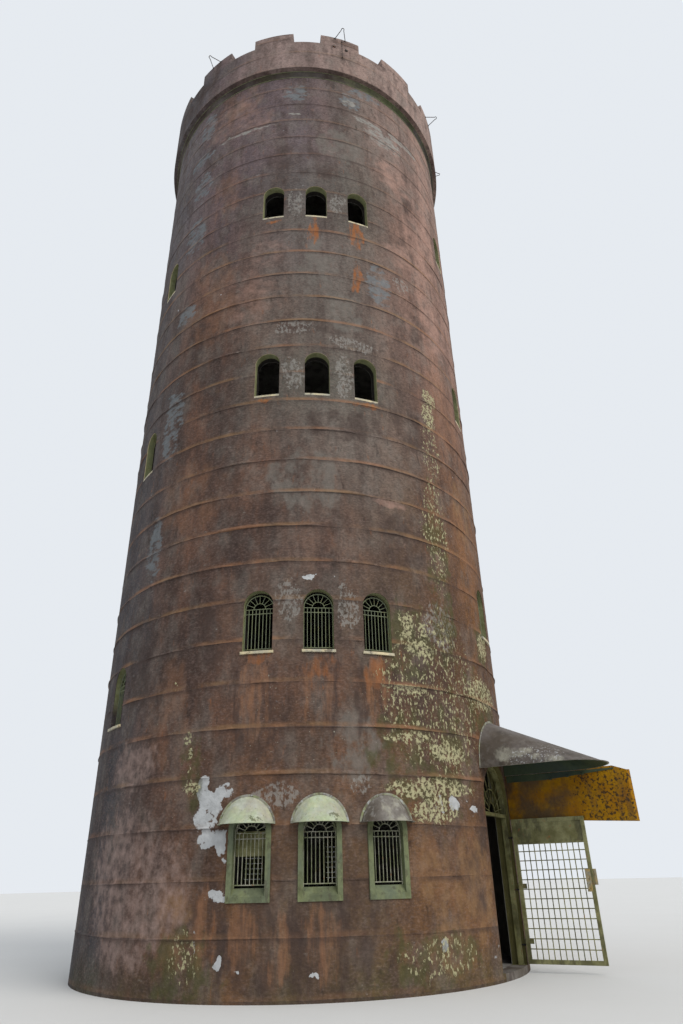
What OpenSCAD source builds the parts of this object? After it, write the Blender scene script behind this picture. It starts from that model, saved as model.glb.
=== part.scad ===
// Round observation tower of cast concrete, with arched windows, a shell hood over a gated
// doorway and a battlemented deck. Millimetres, +Z up. The origin is on the tower's axis at
// ground level. The front looks along -Y, and a bearing is counted in degrees from the front
// towards +X, so that a bearing of 90 looks along +X.

/* [Tower] */
// Outer radius of the round wall
wall_r = 3750; // [3500:10:4200]
// Thickness of the round wall
wall_t = 250; // [200:10:320]
// Height of the ground floor and the doorstep
ground_floor_z = 100; // [60:5:160]
// Height of the first upper floor
upper_floor_z = 3340; // [3320:10:3600]
// Height from one upper floor to the next
storey_h = 4860; // [4600:10:5200]
// Height of the wall above the third upper floor
top_storey_h = 6200; // [5800:10:6600]
// Thickness of each upper floor and of the deck
slab_t = 180; // [140:5:220]
// How far a slab reaches into the wall
slab_bearing = 120; // [80:5:150]
// Bearing of the middle front windows
front_bearing = 3.3; // [0:0.1:6]

/* [Upper windows] */
// Width of an upper window
window_w = 470; // [420:5:520]
// Height of an upper window to the top of its arch
window_h = 1020; // [900:10:1100]
// Height of an upper window above its floor
window_sill_h = 1020; // [980:10:1200]
// Bearing from one window of a group of three to the next
window_step = 14.5; // [13:0.1:15.5]
// Bearing from a group of three to the single window on either side
single_step = 60; // [56:1:62]
// How much higher the right single window is, and how much lower the left one
single_rise = 780; // [600:10:840]
// Thickness of a sill
sill_t = 40; // [25:5:60]
// How far a first-floor sill stands out of the wall
sill_proj = 30; // [15:5:50]
// How far a first-floor sill runs past the opening on each side
sill_lap = 25; // [10:5:50]

/* [Ground floor windows] */
// Width of the opening that a window surround fills
low_window_w = 590; // [540:5:640]
// Height of the underside of the surround
low_window_z = 1080; // [900:10:1200]
// Height at which the arch of the surround begins
low_spring_z = 1930; // [1800:10:1960]
// Width of the surround's face
surround_w = 70; // [50:5:90]
// Depth of the surround in the wall
surround_d = 150; // [100:5:180]
// How far the surround stands out of the wall
surround_proj = 15; // [5:1:30]
// Height of the sloping apron inside the foot of the surround
apron_h = 95; // [60:5:130]

/* [Window hoods] */
// Width of a window hood at its rim
awning_w = 740; // [680:10:800]
// Height of a window hood
awning_h = 350; // [340:10:420]
// How far a window hood stands out of the wall
awning_proj = 340; // [260:10:420]
// Height of the rim of a window hood
awning_z = 2000; // [1980:5:2100]
// Angle by which the left front hood sits off its window
hood_off_angle = 0.8; // [0:0.1:1.5]

/* [Doorway] */
// Width of the doorway
door_w = 1225; // [1100:5:1300]
// Height at which the arch of the doorway begins
door_spring_z = 2350; // [2250:5:2400]
// Width of a door frame post
post_w = 45; // [40:5:60]
// Depth of the door frame
post_d = 80; // [60:5:110]
// Height of the top of the transom bar
transom_z = 2215; // [2150:5:2240]
// Height of the transom bar
transom_h = 50; // [40:5:80]
// Diameter of a transom grille bar
transom_bar_d = 14; // [10:1:20]
// Number of spokes in the transom grille
transom_spokes = 9; // [5:2:13]
// Radius of the inner ring of the transom grille
transom_hub_r = 150; // [100:10:200]

/* [Gate] */
// Thickness of the gate leaf
gate_t = 40; // [30:1:50]
// Width of the leaf's outer bars
stile_w = 60; // [50:1:70]
// Gap under and beside the leaf
gate_gap = 15; // [12:1:25]
// Gap between the closed leaf and the door frame behind it
gate_stop_gap = 10; // [8:1:15]
// Diameter of an upright bar
gate_bar_d = 16; // [12:1:20]
// Number of upright bars
gate_bars = 11; // [8:1:14]
// Number of cross bars
gate_cross_bars = 11; // [8:1:14]
// Height of a cross bar
cross_bar_h = 14; // [10:1:20]
// Height of the sheet at the top of the leaf
gate_sheet_h = 290; // [200:10:400]
// Height of the lock case above the floor
lock_h = 1060; // [950:10:1100]
// Angle at which the gate stands open
gate_open_angle = 93; // [80:1:93]
// Radius of a hinge pin
pin_r = 8; // [6:0.5:10]
// Radius of a hinge knuckle
knuckle_r = 14; // [12:0.5:16]
// Length of a hinge knuckle
knuckle_h = 70; // [50:5:90]
// Radial running clearance of a hinge pin
pin_play = 0.1; // [0.05:0.01:0.1]

/* [Entrance hood] */
// Width of the hood at its rim, without the lip
hood_w = 1260; // [1240:10:1400]
// Height of the hood at the wall
hood_h = 780; // [700:5:900]
// How far the hood stands out of the wall
hood_proj = 1800; // [1400:10:1900]
// Height of the hood's rim
hood_z = 2825; // [2815:5:2900]
// Width of the lip around a hood's rim and of the flange on the wall
lip_w = 30; // [15:5:40]
// Thickness of a hood's shell
shell_t = 10; // [6:1:16]
// Height of the side screen at its outer end, to the hood's rim
screen_h = 815; // [700:5:850]
// How much shorter the side screen is at the wall
screen_rise = 130; // [0:10:200]
// How far the side screen reaches past the hood's lip
screen_past = 140; // [100:10:300]
// Thickness of the side screen
screen_t = 14; // [8:1:20]
// Depth of the folded end of the side screen
screen_fold = 60; // [40:5:90]
// Angle of the folded end, from square to the screen
screen_fold_angle = 45; // [0:5:60]

/* [Cornice and parapet] */
// How far the cove stands out of the wall
cove_proj = 60; // [40:5:120]
// Height of the cove
cove_h = 140; // [80:5:160]
// Height of the lip over the cove
cove_lip_h = 14; // [6:1:20]
// Outer radius of the parapet beyond the wall's
parapet_over = 170; // [150:5:220]
// Thickness of the parapet
parapet_t = 200; // [160:5:240]
// Height of the parapet above the deck
parapet_h = 1140; // [1000:10:1250]
// Height of a merlon
merlon_h = 380; // [300:10:450]
// Number of merlons
merlon_count = 14; // [10:2:16]
// Width of a merlon along the parapet's outer face
merlon_w = 1040; // [900:10:1200]

/* [Rod hoops] */
// Diameter of the bent rod
rod_d = 18; // [12:1:24]
// How far a hoop stands out of the parapet
hoop_proj = 300; // [200:10:400]
// Width of a hoop at the parapet
hoop_w = 280; // [200:10:400]
// Bend radius at the tip of a hoop
hoop_bend = 35; // [25:5:50]
// Depth of a hoop below the top of its merlon
hoop_drop = 40; // [25:5:80]

/* [Hidden] */

// Fineness of a large round and of a small one
large_fn = 360;
arch_fn = 120;
small_fn = 48;
bar_fn = 8;
arc_steps = 12;
// Gap between two pieces where they meet, and the same as an angle on the round wall
seat = 0.3;
seat_angle = seat / wall_r * 180 / PI;
// How far a cutting shape runs past what it cuts
past = 60;

// Colours of the finishes
render_red = [0.44, 0.29, 0.24];
slab_grey = [0.52, 0.50, 0.47];
pale_green = [0.66, 0.70, 0.55];
olive = [0.42, 0.42, 0.24];
cream = [0.80, 0.76, 0.62];
hood_grey = [0.40, 0.38, 0.36];
screen_orange = [0.72, 0.46, 0.10];
steel_grey = [0.35, 0.34, 0.33];
brass_brown = [0.55, 0.45, 0.25];

// Heights
wall_top_z = upper_floor_z + 2 * storey_h + top_storey_h;
deck_z = wall_top_z + slab_t;
crenel_z = deck_z + parapet_h;
merlon_top_z = crenel_z + merlon_h;
floor_z = [ground_floor_z, upper_floor_z, upper_floor_z + storey_h, upper_floor_z + 2 * storey_h];

// Radii
inner_r = wall_r - wall_t;
bearing_r = inner_r + slab_bearing;
parapet_r = wall_r + parapet_over;

// Doorway, in its own frame: x along the wall, -y outwards
door_half = door_w / 2;
door_half_bearing = asin(door_half / wall_r);
door_bearing = front_bearing + 45 + door_half_bearing;
jamb_y = sqrt(pow(wall_r, 2) - pow(door_half, 2));
leaf_face_y = jamb_y - 5;
post_face_y = leaf_face_y - gate_t - gate_stop_gap;
hinge_x = door_half - knuckle_r - 4;
hinge_y = leaf_face_y + knuckle_r + 3;
leaf_hinge_x = hinge_x - knuckle_r - 5;
leaf_free_x = -door_half + gate_gap;
leaf_foot_z = ground_floor_z + gate_gap;
leaf_top_z = transom_z - transom_h - 2 * gate_gap;
hinge_heights = [250, 1000, 1750];

// Quadrants of the wall, each from one bearing to the next
front_start = front_bearing - 45;
door_end = door_bearing + door_half_bearing;
// How far the walls beside the doorway reach over its haunches and under its step
door_lap = 1.2;
over_door = [front_start + 90 + door_lap, door_end - door_lap];

// Shared forms

// Turns something that is made at the front to a bearing
module at_bearing(bearing) {
    rotate([0, 0, bearing]) children();
}

// Part of a ring between two bearings
module ring_part(from, to, r_in, r_out, z_low, z_high) {
    rotate([0, 0, from - 90])
        rotate_extrude(angle = to - from, $fn = large_fn)
            translate([r_in, z_low]) square([r_out - r_in, z_high - z_low]);
}

// Part of a ring that meets the next part and the piece over it
module seated_part(from, to, r_in, r_out, z_low, z_high) {
    ring_part(from, to - seat_angle, r_in, r_out, z_low, z_high - seat);
}

// Outline of an arched opening that stands on y = 0
module arch_outline(width, spring) {
    translate([-width / 2, 0]) square([width, spring]);
    translate([0, spring]) circle(d = width, $fn = arch_fn);
}

// Arched prism from one distance out to another, standing at a height
module arch_prism(width, spring, near, far, z) {
    translate([0, -near, z])
        rotate([90, 0, 0])
            linear_extrude(height = far - near) arch_outline(width, spring);
}

// One cut for an upper window
module window_cut(z) {
    arch_prism(window_w, window_h - window_w / 2, inner_r - past, wall_r + past, z);
}

// The three windows of a group
module for_each_of_three(middle) {
    for (side = [-1, 0, 1]) at_bearing(middle + side * window_step) children();
}

// Wall ring of one storey with the ledge that carries the next slab
module wall_shell(from, to, z_low, z_high) {
    difference() {
        seated_part(from, to, inner_r, wall_r, z_low, z_high);
        ring_part(from - 1, to + 1, inner_r - past, bearing_r, z_high - slab_t - seat, z_high + past);
    }
}

// Cuts of the upper windows in one storey
module upper_window_cuts(storey) {
    z = floor_z[storey - 1] + window_sill_h;
    for (turn = [0, 180]) {
        for_each_of_three(front_bearing + turn) window_cut(z);
        at_bearing(front_bearing + turn + single_step) window_cut(z + single_rise);
        at_bearing(front_bearing + turn - single_step) window_cut(z - single_rise);
    }
}

// One quadrant of an upper storey. The top storey has no ledge, as the deck lies on its wall.
module upper_wall(storey, quadrant) {
    from = front_start + 90 * quadrant;
    z_low = floor_z[storey - 1];
    color(render_red) difference() {
        if (storey < 4) wall_shell(from, from + 90, z_low, floor_z[storey]);
        else seated_part(from, from + 90, inner_r, wall_r, z_low, wall_top_z);
        upper_window_cuts(storey);
    }
}

// Ground storey

module low_window_cut() {
    arch_prism(low_window_w, low_spring_z - low_window_z, inner_r - past, wall_r + past, low_window_z);
}

module door_cut() {
    at_bearing(door_bearing)
        arch_prism(door_w, door_spring_z - ground_floor_z, inner_r - 2 * past, wall_r + 2 * past,
            ground_floor_z);
}

module low_wall(from, to, z_low) {
    color(render_red) difference() {
        wall_shell(from, to, z_low, upper_floor_z);
        for (turn = [0, 180]) for_each_of_three(front_bearing + turn) low_window_cut();
        door_cut();
    }
}

module ground_floor() {
    color(slab_grey) cylinder(r = inner_r - seat, h = ground_floor_z, $fn = large_fn);
}

module door_step() {
    color(slab_grey)
        seated_part(over_door[0], over_door[1], inner_r, wall_r, 0, ground_floor_z);
}

// Slab of an upper floor on the wall's ledge
module upper_floor(storey) {
    color(slab_grey)
        translate([0, 0, floor_z[storey - 1] - slab_t])
            cylinder(r = bearing_r - seat, h = slab_t - seat, $fn = large_fn);
}

module deck() {
    color(slab_grey)
        translate([0, 0, wall_top_z]) cylinder(r = bearing_r - seat, h = slab_t - seat, $fn = large_fn);
}

// Windows

// Surround of a ground floor window, with a sloping apron at its foot
module window_surround() {
    clear_w = low_window_w - 2 * surround_w;
    spring = low_spring_z - low_window_z;
    out = wall_r + surround_proj;
    difference() {
        arch_prism(low_window_w - 2 * seat, spring, wall_r - surround_d, out, low_window_z);
        arch_prism(clear_w, spring - surround_w - apron_h, wall_r - surround_d - past, out + past,
            low_window_z + surround_w + apron_h);
        translate([-clear_w / 2, 0, 0]) rotate([90, 0, 90]) linear_extrude(height = clear_w)
            polygon([
                [-out - past, low_window_z + surround_w],
                [-out, low_window_z + surround_w],
                [-wall_r + surround_d / 2, low_window_z + surround_w + apron_h],
                [-wall_r + surround_d / 2, low_window_z + surround_w + apron_h + 1],
                [-out - past, low_window_z + surround_w + apron_h + 1]]);
    }
}

module window_surrounds() {
    color(pale_green)
        for (turn = [0, 180]) for_each_of_three(front_bearing + turn) window_surround();
}

// Sill in the foot of an upper window, with a nose past the wall where proj is over 0
module sill(proj, lap) {
    intersection() {
        union() {
            translate([-window_w / 2 + seat, -wall_r, 0]) cube([window_w - 2 * seat, wall_t, sill_t]);
            translate([-window_w / 2 - lap, -wall_r - past, 0])
                cube([window_w + 2 * lap, past * 2, sill_t]);
        }
        difference() {
            cylinder(r = wall_r + proj, h = sill_t, $fn = large_fn);
            translate([0, 0, -1]) cylinder(r = inner_r, h = sill_t + 2, $fn = large_fn);
        }
    }
}

// A nosed sill's ends lie on the wall's face
module nosed_sill() {
    difference() {
        sill(sill_proj, sill_lap);
        for (side = [-1, 1]) intersection() {
            translate([side * (window_w / 2 + past) - past, -wall_r - past, -1])
                cube([2 * past, past * 3, sill_t + 2]);
            translate([0, 0, -1]) cylinder(r = wall_r + seat, h = sill_t + 2, $fn = large_fn);
        }
    }
}

// Sills of one storey. Only the first upper storey's have a nose.
module sills(storey) {
    z = floor_z[storey - 1] + window_sill_h;
    color(cream) for (turn = [0, 180]) {
        for_each_of_three(front_bearing + turn) translate([0, 0, z]) storey_sill(storey);
        at_bearing(front_bearing + turn + single_step)
            translate([0, 0, z + single_rise]) storey_sill(storey);
        at_bearing(front_bearing + turn - single_step)
            translate([0, 0, z - single_rise]) storey_sill(storey);
    }
}

module storey_sill(storey) {
    if (storey == 2) nosed_sill();
    else sill(0, 0);
}

// Hoods

// Plan of a hood's rim: straight sides, then a half round or half oval end
module rim_plan(half, straight, reach) {
    translate([-half, -straight]) square([2 * half, straight]);
    translate([0, -straight]) scale([1, (reach - straight) / half]) circle(r = half, $fn = small_fn);
}

// Solid under a hood's skin: a half oval at the back drawn down to the rim's plan
module hood_form(half, height, back, straight, reach) {
    hull() {
        translate([0, -back, 0]) rotate([90, 0, 0])
            linear_extrude(height = 1) intersection() {
                scale([1, height / half]) circle(r = half, $fn = small_fn);
                translate([-half, 0]) square([2 * half, height]);
            }
        translate([0, -back, 0])
            linear_extrude(height = 1) rim_plan(half, straight, reach);
    }
}

// Hood with its lip and the flange along the wall, as wide as the lip. The rim lies at z = 0.
module shell_hood(width, height, proj, straight) {
    half = width / 2;
    back = wall_r - 2 * past;
    reach = proj + 2 * past - lip_w;
    rise = height * reach / (reach - 2 * past);
    length = straight + 2 * past;
    difference() {
        union() {
            hood_form(half, rise, back, length, reach);
            translate([0, -back, 0]) linear_extrude(height = shell_t)
                rim_plan(half + lip_w, length, reach + lip_w);
            intersection() {
                hood_form(half + lip_w, rise + lip_w, back, length, reach + lip_w);
                cylinder(r = wall_r + shell_t, h = rise + lip_w, $fn = large_fn);
            }
        }
        translate([0, 0, -seat])
            hood_form(half - shell_t, rise - shell_t, back - past, length + past, reach + past - shell_t);
        translate([0, 0, -1]) cylinder(r = wall_r + seat, h = rise + lip_w + 2, $fn = large_fn);
    }
}

module window_hoods(turn) {
    color(pale_green) for (side = [-1, 0, 1])
        at_bearing(front_bearing + turn + side * window_step - (side < 0 && turn == 0 ? hood_off_angle : 0))
            translate([0, 0, awning_z]) shell_hood(awning_w, awning_h, awning_proj, 0);
}

module entrance_hood() {
    color(hood_grey) at_bearing(door_bearing) translate([0, 0, hood_z])
        shell_hood(hood_w, hood_h, hood_proj, hood_proj - lip_w - hood_w / 2);
}

// Screen that hangs beside the hood's far lip, with a folded outer end
module side_screen() {
    inner_x = hood_w / 2 + lip_w + seat;
    end_y = wall_r + hood_proj + screen_past;
    top = hood_z + shell_t;
    foot = top - screen_h;
    end_top = top - screen_past * 0.4;
    color(screen_orange) at_bearing(door_bearing) difference() {
        union() {
            translate([inner_x, 0, 0]) rotate([90, 0, 90]) linear_extrude(height = screen_t)
                polygon([
                    [-inner_r, foot + screen_rise], [-end_y, foot], [-end_y, end_top],
                    [-end_y + 1.5 * screen_past, top + 20], [-inner_r, top]]);
            translate([inner_x, -end_y, foot]) rotate(-screen_fold_angle)
                cube([screen_fold, screen_t, end_top - foot]);
        }
        cylinder(r = wall_r + seat, h = 2 * hood_z, $fn = large_fn);
    }
}

// Doorway

module door_frame() {
    clear_w = door_w - 2 * post_w;
    spring = door_spring_z - ground_floor_z;
    color(olive) at_bearing(door_bearing) difference() {
        arch_prism(door_w - 2 * seat, spring, post_face_y - post_d, post_face_y, ground_floor_z);
        translate([-clear_w / 2, -post_face_y - past, ground_floor_z - past])
            cube([clear_w, post_d + 2 * past, transom_z - transom_h - ground_floor_z + past]);
        intersection() {
            arch_prism(clear_w, spring, post_face_y - post_d - past, post_face_y + past, ground_floor_z);
            translate([-door_half, -wall_r - past, transom_z]) cube([door_w, wall_r, door_w]);
        }
    }
}

// Fan of bars over the transom bar, cut to the frame's arch
module transom_grille() {
    clear_w = door_w - 2 * (post_w + seat);
    mid_y = post_face_y - post_d / 2;
    bar = transom_bar_d;
    color(olive) at_bearing(door_bearing) intersection() {
        arch_prism(clear_w, door_spring_z - transom_z, mid_y - post_d, mid_y + post_d, transom_z);
        translate([0, -mid_y, transom_z]) union() {
            for (r = [transom_hub_r, 2.4 * transom_hub_r])
                rotate([90, 0, 0]) rotate_extrude(angle = 180, $fn = small_fn)
                    translate([r - bar / 2, -bar / 2]) square(bar);
            for (i = [0 : transom_spokes - 1])
                rotate([0, 90 - 180 * (i + 0.5) / transom_spokes, 0])
                    translate([-bar * 0.4, -bar * 0.4, transom_hub_r]) cube([bar * 0.8, bar * 0.8, door_w]);
        }
    }
}

// Gate

// Turns the closed gate to the angle at which it stands open
module opened() {
    at_bearing(door_bearing)
        translate([hinge_x, -hinge_y, 0]) rotate([0, 0, gate_open_angle])
            translate([-hinge_x, hinge_y, 0]) children();
}

// Bar of the leaf with its outer face flush with the leaf's
module leaf_bar(x_from, x_to, z_from, z_to, thickness) {
    translate([x_from, -leaf_face_y + (gate_t - thickness) / 2, z_from])
        cube([x_to - x_from, thickness, z_to - z_from]);
}

module gate_leaf() {
    sheet_foot = leaf_top_z - stile_w - gate_sheet_h;
    bar_space = (leaf_hinge_x - leaf_free_x - 2 * stile_w) / (gate_bars + 1);
    cross_space = (sheet_foot - leaf_foot_z - stile_w) / (gate_cross_bars + 1);
    color(olive) opened() {
        leaf_bar(leaf_free_x, leaf_free_x + stile_w, leaf_foot_z, leaf_top_z, gate_t);
        leaf_bar(leaf_hinge_x - stile_w, leaf_hinge_x, leaf_foot_z, leaf_top_z, gate_t);
        leaf_bar(leaf_free_x, leaf_hinge_x, leaf_foot_z, leaf_foot_z + stile_w, gate_t);
        leaf_bar(leaf_free_x, leaf_hinge_x, leaf_top_z - stile_w, leaf_top_z, gate_t);
        leaf_bar(leaf_free_x, leaf_hinge_x, sheet_foot - stile_w / 2, sheet_foot, gate_t * 0.8);
        for (i = [1 : gate_cross_bars])
            translate([0, 0, leaf_foot_z + stile_w + i * cross_space])
                leaf_bar(leaf_free_x, leaf_hinge_x, -cross_bar_h / 2, cross_bar_h / 2, gate_t * 0.2);
        for (i = [1 : gate_bars])
            translate([leaf_free_x + stile_w + i * bar_space, -leaf_face_y + gate_t / 2, leaf_foot_z + 1])
                cylinder(d = gate_bar_d, h = sheet_foot - leaf_foot_z - 2, $fn = bar_fn);
        for (h = hinge_heights) translate([0, 0, ground_floor_z + h]) knuckle();
    }
}

// Knuckle of a hinge with the strap that holds it to the leaf
module knuckle() {
    lift = knuckle_h / 3 + seat;
    difference() {
        union() {
            translate([hinge_x, -hinge_y, lift]) cylinder(r = knuckle_r, h = knuckle_h, $fn = small_fn);
            translate([leaf_hinge_x - 2 * stile_w, -leaf_face_y - 6, lift])
                cube([hinge_x - leaf_hinge_x + 2 * stile_w, 6, knuckle_h]);
        }
        translate([hinge_x, -hinge_y, lift - 1])
            cylinder(r = pin_r + pin_play, h = knuckle_h + 2, $fn = small_fn);
    }
}

// Sheet in the top panel of the leaf, between its rails
module gate_sheet() {
    sheet_t = 3;
    foot = leaf_top_z - stile_w - gate_sheet_h;
    color(olive) opened()
        translate([leaf_free_x + stile_w, -leaf_face_y + gate_t / 2, foot])
            cube([leaf_hinge_x - leaf_free_x - 2 * stile_w, sheet_t, gate_sheet_h]);
}

// Lock case on the outer face, past the free edge, and a plate with two knobs on the inner face
module gate_lock() {
    case_past = 45;
    case_w = 110;
    case_h = 220;
    case_t = 30;
    case_off = jamb_y - leaf_face_y + 7;
    plate_t = 4;
    knob_x = leaf_free_x + 75;
    case_z = ground_floor_z + lock_h;
    plate_y = -leaf_face_y + gate_t + seat;
    color(brass_brown) opened() {
        translate([leaf_free_x - case_past, -leaf_face_y - case_off - case_t, case_z])
            cube([case_w, case_t, case_h]);
        translate([leaf_free_x + 5, -leaf_face_y - case_off - 1, case_z + 10])
            cube([stile_w - 10, case_off + 1 - seat, case_h - 20]);
        translate([leaf_free_x + 35, plate_y, case_z - 90]) cube([80, plate_t, case_h + 90]);
        translate([knob_x, plate_y + plate_t - 1, case_z + case_h / 2]) knob(22, 52);
        translate([knob_x, plate_y + plate_t - 1, case_z - 45]) knob(16, 26);
    }
}

// Round knob on a stem that points inwards
module knob(knob_r, length) {
    stem_r = knob_r * 0.4;
    rotate([-90, 0, 0]) {
        cylinder(r = stem_r, h = length * 0.5, $fn = small_fn);
        translate([0, 0, length * 0.5]) cylinder(r1 = stem_r, r2 = knob_r, h = length * 0.2, $fn = small_fn);
        translate([0, 0, length * 0.7]) cylinder(r = knob_r, h = length * 0.3, $fn = small_fn);
    }
}

// Pin, collar and arm of each hinge on the door frame
module gate_pintles() {
    collar_h = knuckle_h / 3;
    color(steel_grey) at_bearing(door_bearing)
        for (h = hinge_heights) translate([0, 0, ground_floor_z + h]) {
            translate([hinge_x, -hinge_y, 0]) cylinder(r = knuckle_r, h = collar_h, $fn = small_fn);
            translate([hinge_x, -hinge_y, 0])
                cylinder(r = pin_r, h = collar_h + knuckle_h, $fn = small_fn);
            translate([hinge_x - pin_r, -hinge_y, 0])
                cube([2 * pin_r, hinge_y - post_face_y, collar_h]);
        }
}

// Cornice and parapet

module cornice() {
    cove_foot_z = deck_z - cove_lip_h - cove_h;
    cove_out = wall_r + cove_proj;
    color(pale_green) rotate_extrude($fn = large_fn) polygon(concat(
        [[bearing_r, wall_top_z], [wall_r, wall_top_z]],
        [for (i = [0 : arc_steps]) let (a = 90 * i / arc_steps)
            [cove_out - cove_proj * cos(a), cove_foot_z + cove_h * sin(a)]],
        [[cove_out, deck_z - seat], [bearing_r, deck_z - seat]]));
}

module parapet(quadrant) {
    from = front_start + 90 * quadrant;
    color(render_red) seated_part(from, from + 90, parapet_r - parapet_t, parapet_r, deck_z, crenel_z);
}

// Merlons, with a gap in the middle of the front
module merlons() {
    pitch = 360 / merlon_count;
    half = merlon_w / parapet_r * 90 / PI;
    color(render_red) for (i = [0 : merlon_count - 1])
        ring_part((i + 0.5) * pitch - half, (i + 0.5) * pitch + half,
            parapet_r - parapet_t, parapet_r, crenel_z, merlon_top_z);
}

// Bent rod that stands out of a merlon's face
module rod_hoop() {
    tip_y = parapet_r + hoop_proj - rod_d / 2 - hoop_bend;
    root_y = parapet_r - past;
    lean = atan((hoop_w / 2 - hoop_bend) / (tip_y - parapet_r));
    leg = (tip_y - root_y) / cos(lean);
    difference() {
        translate([0, -tip_y, merlon_top_z - hoop_drop]) {
            rotate([0, 0, 180 - lean])
                rotate_extrude(angle = 180 + 2 * lean, $fn = small_fn)
                    translate([hoop_bend, 0]) circle(d = rod_d, $fn = bar_fn);
            for (side = [-1, 1]) scale([side, 1, 1]) rotate([0, 0, -lean])
                translate([hoop_bend, 0, 0]) rotate([-90, 0, 0]) cylinder(d = rod_d, h = leg, $fn = bar_fn);
        }
        cylinder(r = parapet_r + seat, h = merlon_top_z, $fn = large_fn);
    }
}

// Hoops on the merlons that carry one
module rod_hoops() {
    pitch = 360 / merlon_count;
    color(steel_grey) for (i = [-2, 0, 2, 3, 5, 7, 9]) at_bearing((i + 0.5) * pitch) rod_hoop();
}

ground_floor();
door_step();
low_wall(front_start, over_door[0], 0);  // wall_1_front
low_wall(over_door[1], front_start + 180, 0);  // wall_1_right
low_wall(front_start + 180, front_start + 270, 0);  // wall_1_back
low_wall(front_start + 270, front_start + 360, 0);  // wall_1_left
low_wall(over_door[0], over_door[1], door_spring_z);  // wall_over_door
upper_floor(2);  // floor_2
upper_wall(2, 0);  // wall_2_front
upper_wall(2, 1);  // wall_2_right
upper_wall(2, 2);  // wall_2_back
upper_wall(2, 3);  // wall_2_left
upper_floor(3);  // floor_3
upper_wall(3, 0);  // wall_3_front
upper_wall(3, 1);  // wall_3_right
upper_wall(3, 2);  // wall_3_back
upper_wall(3, 3);  // wall_3_left
upper_floor(4);  // floor_4
upper_wall(4, 0);  // wall_4_front
upper_wall(4, 1);  // wall_4_right
upper_wall(4, 2);  // wall_4_back
upper_wall(4, 3);  // wall_4_left
deck();
cornice();
parapet(0);  // parapet_front
parapet(1);  // parapet_right
parapet(2);  // parapet_back
parapet(3);  // parapet_left
merlons();
rod_hoops();
window_surrounds();
window_hoods(0);  // window_hoods_front
window_hoods(180);  // window_hoods_back
sills(2);  // sills_2
sills(3);  // sills_3
sills(4);  // sills_4
door_frame();
transom_grille();
entrance_hood();
side_screen();
gate_pintles();
gate_leaf();
gate_sheet();
gate_lock();
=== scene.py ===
"""Look of the round observation tower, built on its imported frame.

Distances are in metres in the frame's own axes, with +Z up. A bearing is counted in degrees from
the front (-Y) towards +X. Pieces are made at the front and then turned to their bearing, so in
them +X runs along the wall to the right, -Y points outwards and +Z points up.
"""

import logging
import math
from collections.abc import Callable, Iterable
from dataclasses import dataclass, field
from enum import Enum

import bmesh
import bpy
from bmesh.types import BMEdge, BMesh, BMFace
from bpy.types import Material, NodeSocket
from mathutils import Matrix, Vector


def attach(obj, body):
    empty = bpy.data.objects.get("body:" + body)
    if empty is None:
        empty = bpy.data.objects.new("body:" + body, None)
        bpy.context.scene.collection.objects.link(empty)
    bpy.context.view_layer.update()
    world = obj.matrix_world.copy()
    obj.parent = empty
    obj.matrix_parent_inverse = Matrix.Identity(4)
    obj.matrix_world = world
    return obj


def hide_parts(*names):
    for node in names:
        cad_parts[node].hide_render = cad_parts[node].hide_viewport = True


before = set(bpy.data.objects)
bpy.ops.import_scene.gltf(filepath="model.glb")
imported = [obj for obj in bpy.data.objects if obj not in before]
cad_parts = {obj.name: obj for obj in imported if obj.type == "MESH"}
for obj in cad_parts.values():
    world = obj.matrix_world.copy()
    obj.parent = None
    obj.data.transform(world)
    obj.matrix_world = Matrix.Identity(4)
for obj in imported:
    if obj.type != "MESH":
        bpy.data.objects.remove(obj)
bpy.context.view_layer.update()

logging.basicConfig(level=logging.INFO, format="%(name)s: %(message)s")
LOG = logging.getLogger("tower")

Value = NodeSocket | float | tuple[float, ...]
Rows = tuple[tuple[float, ...], ...]

# Sizes and bearings of the frame that the looks share.
WALL_R = 3.75
PARAPET_R = 3.92
FRONT = 3.3
WINDOW_STEP = 14.5
DOOR = 57.701
HOOD_Z = 2.825
SILLS = (4.36, 9.22, 14.08)
LOW_HOOD_Z = 2.0


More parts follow.
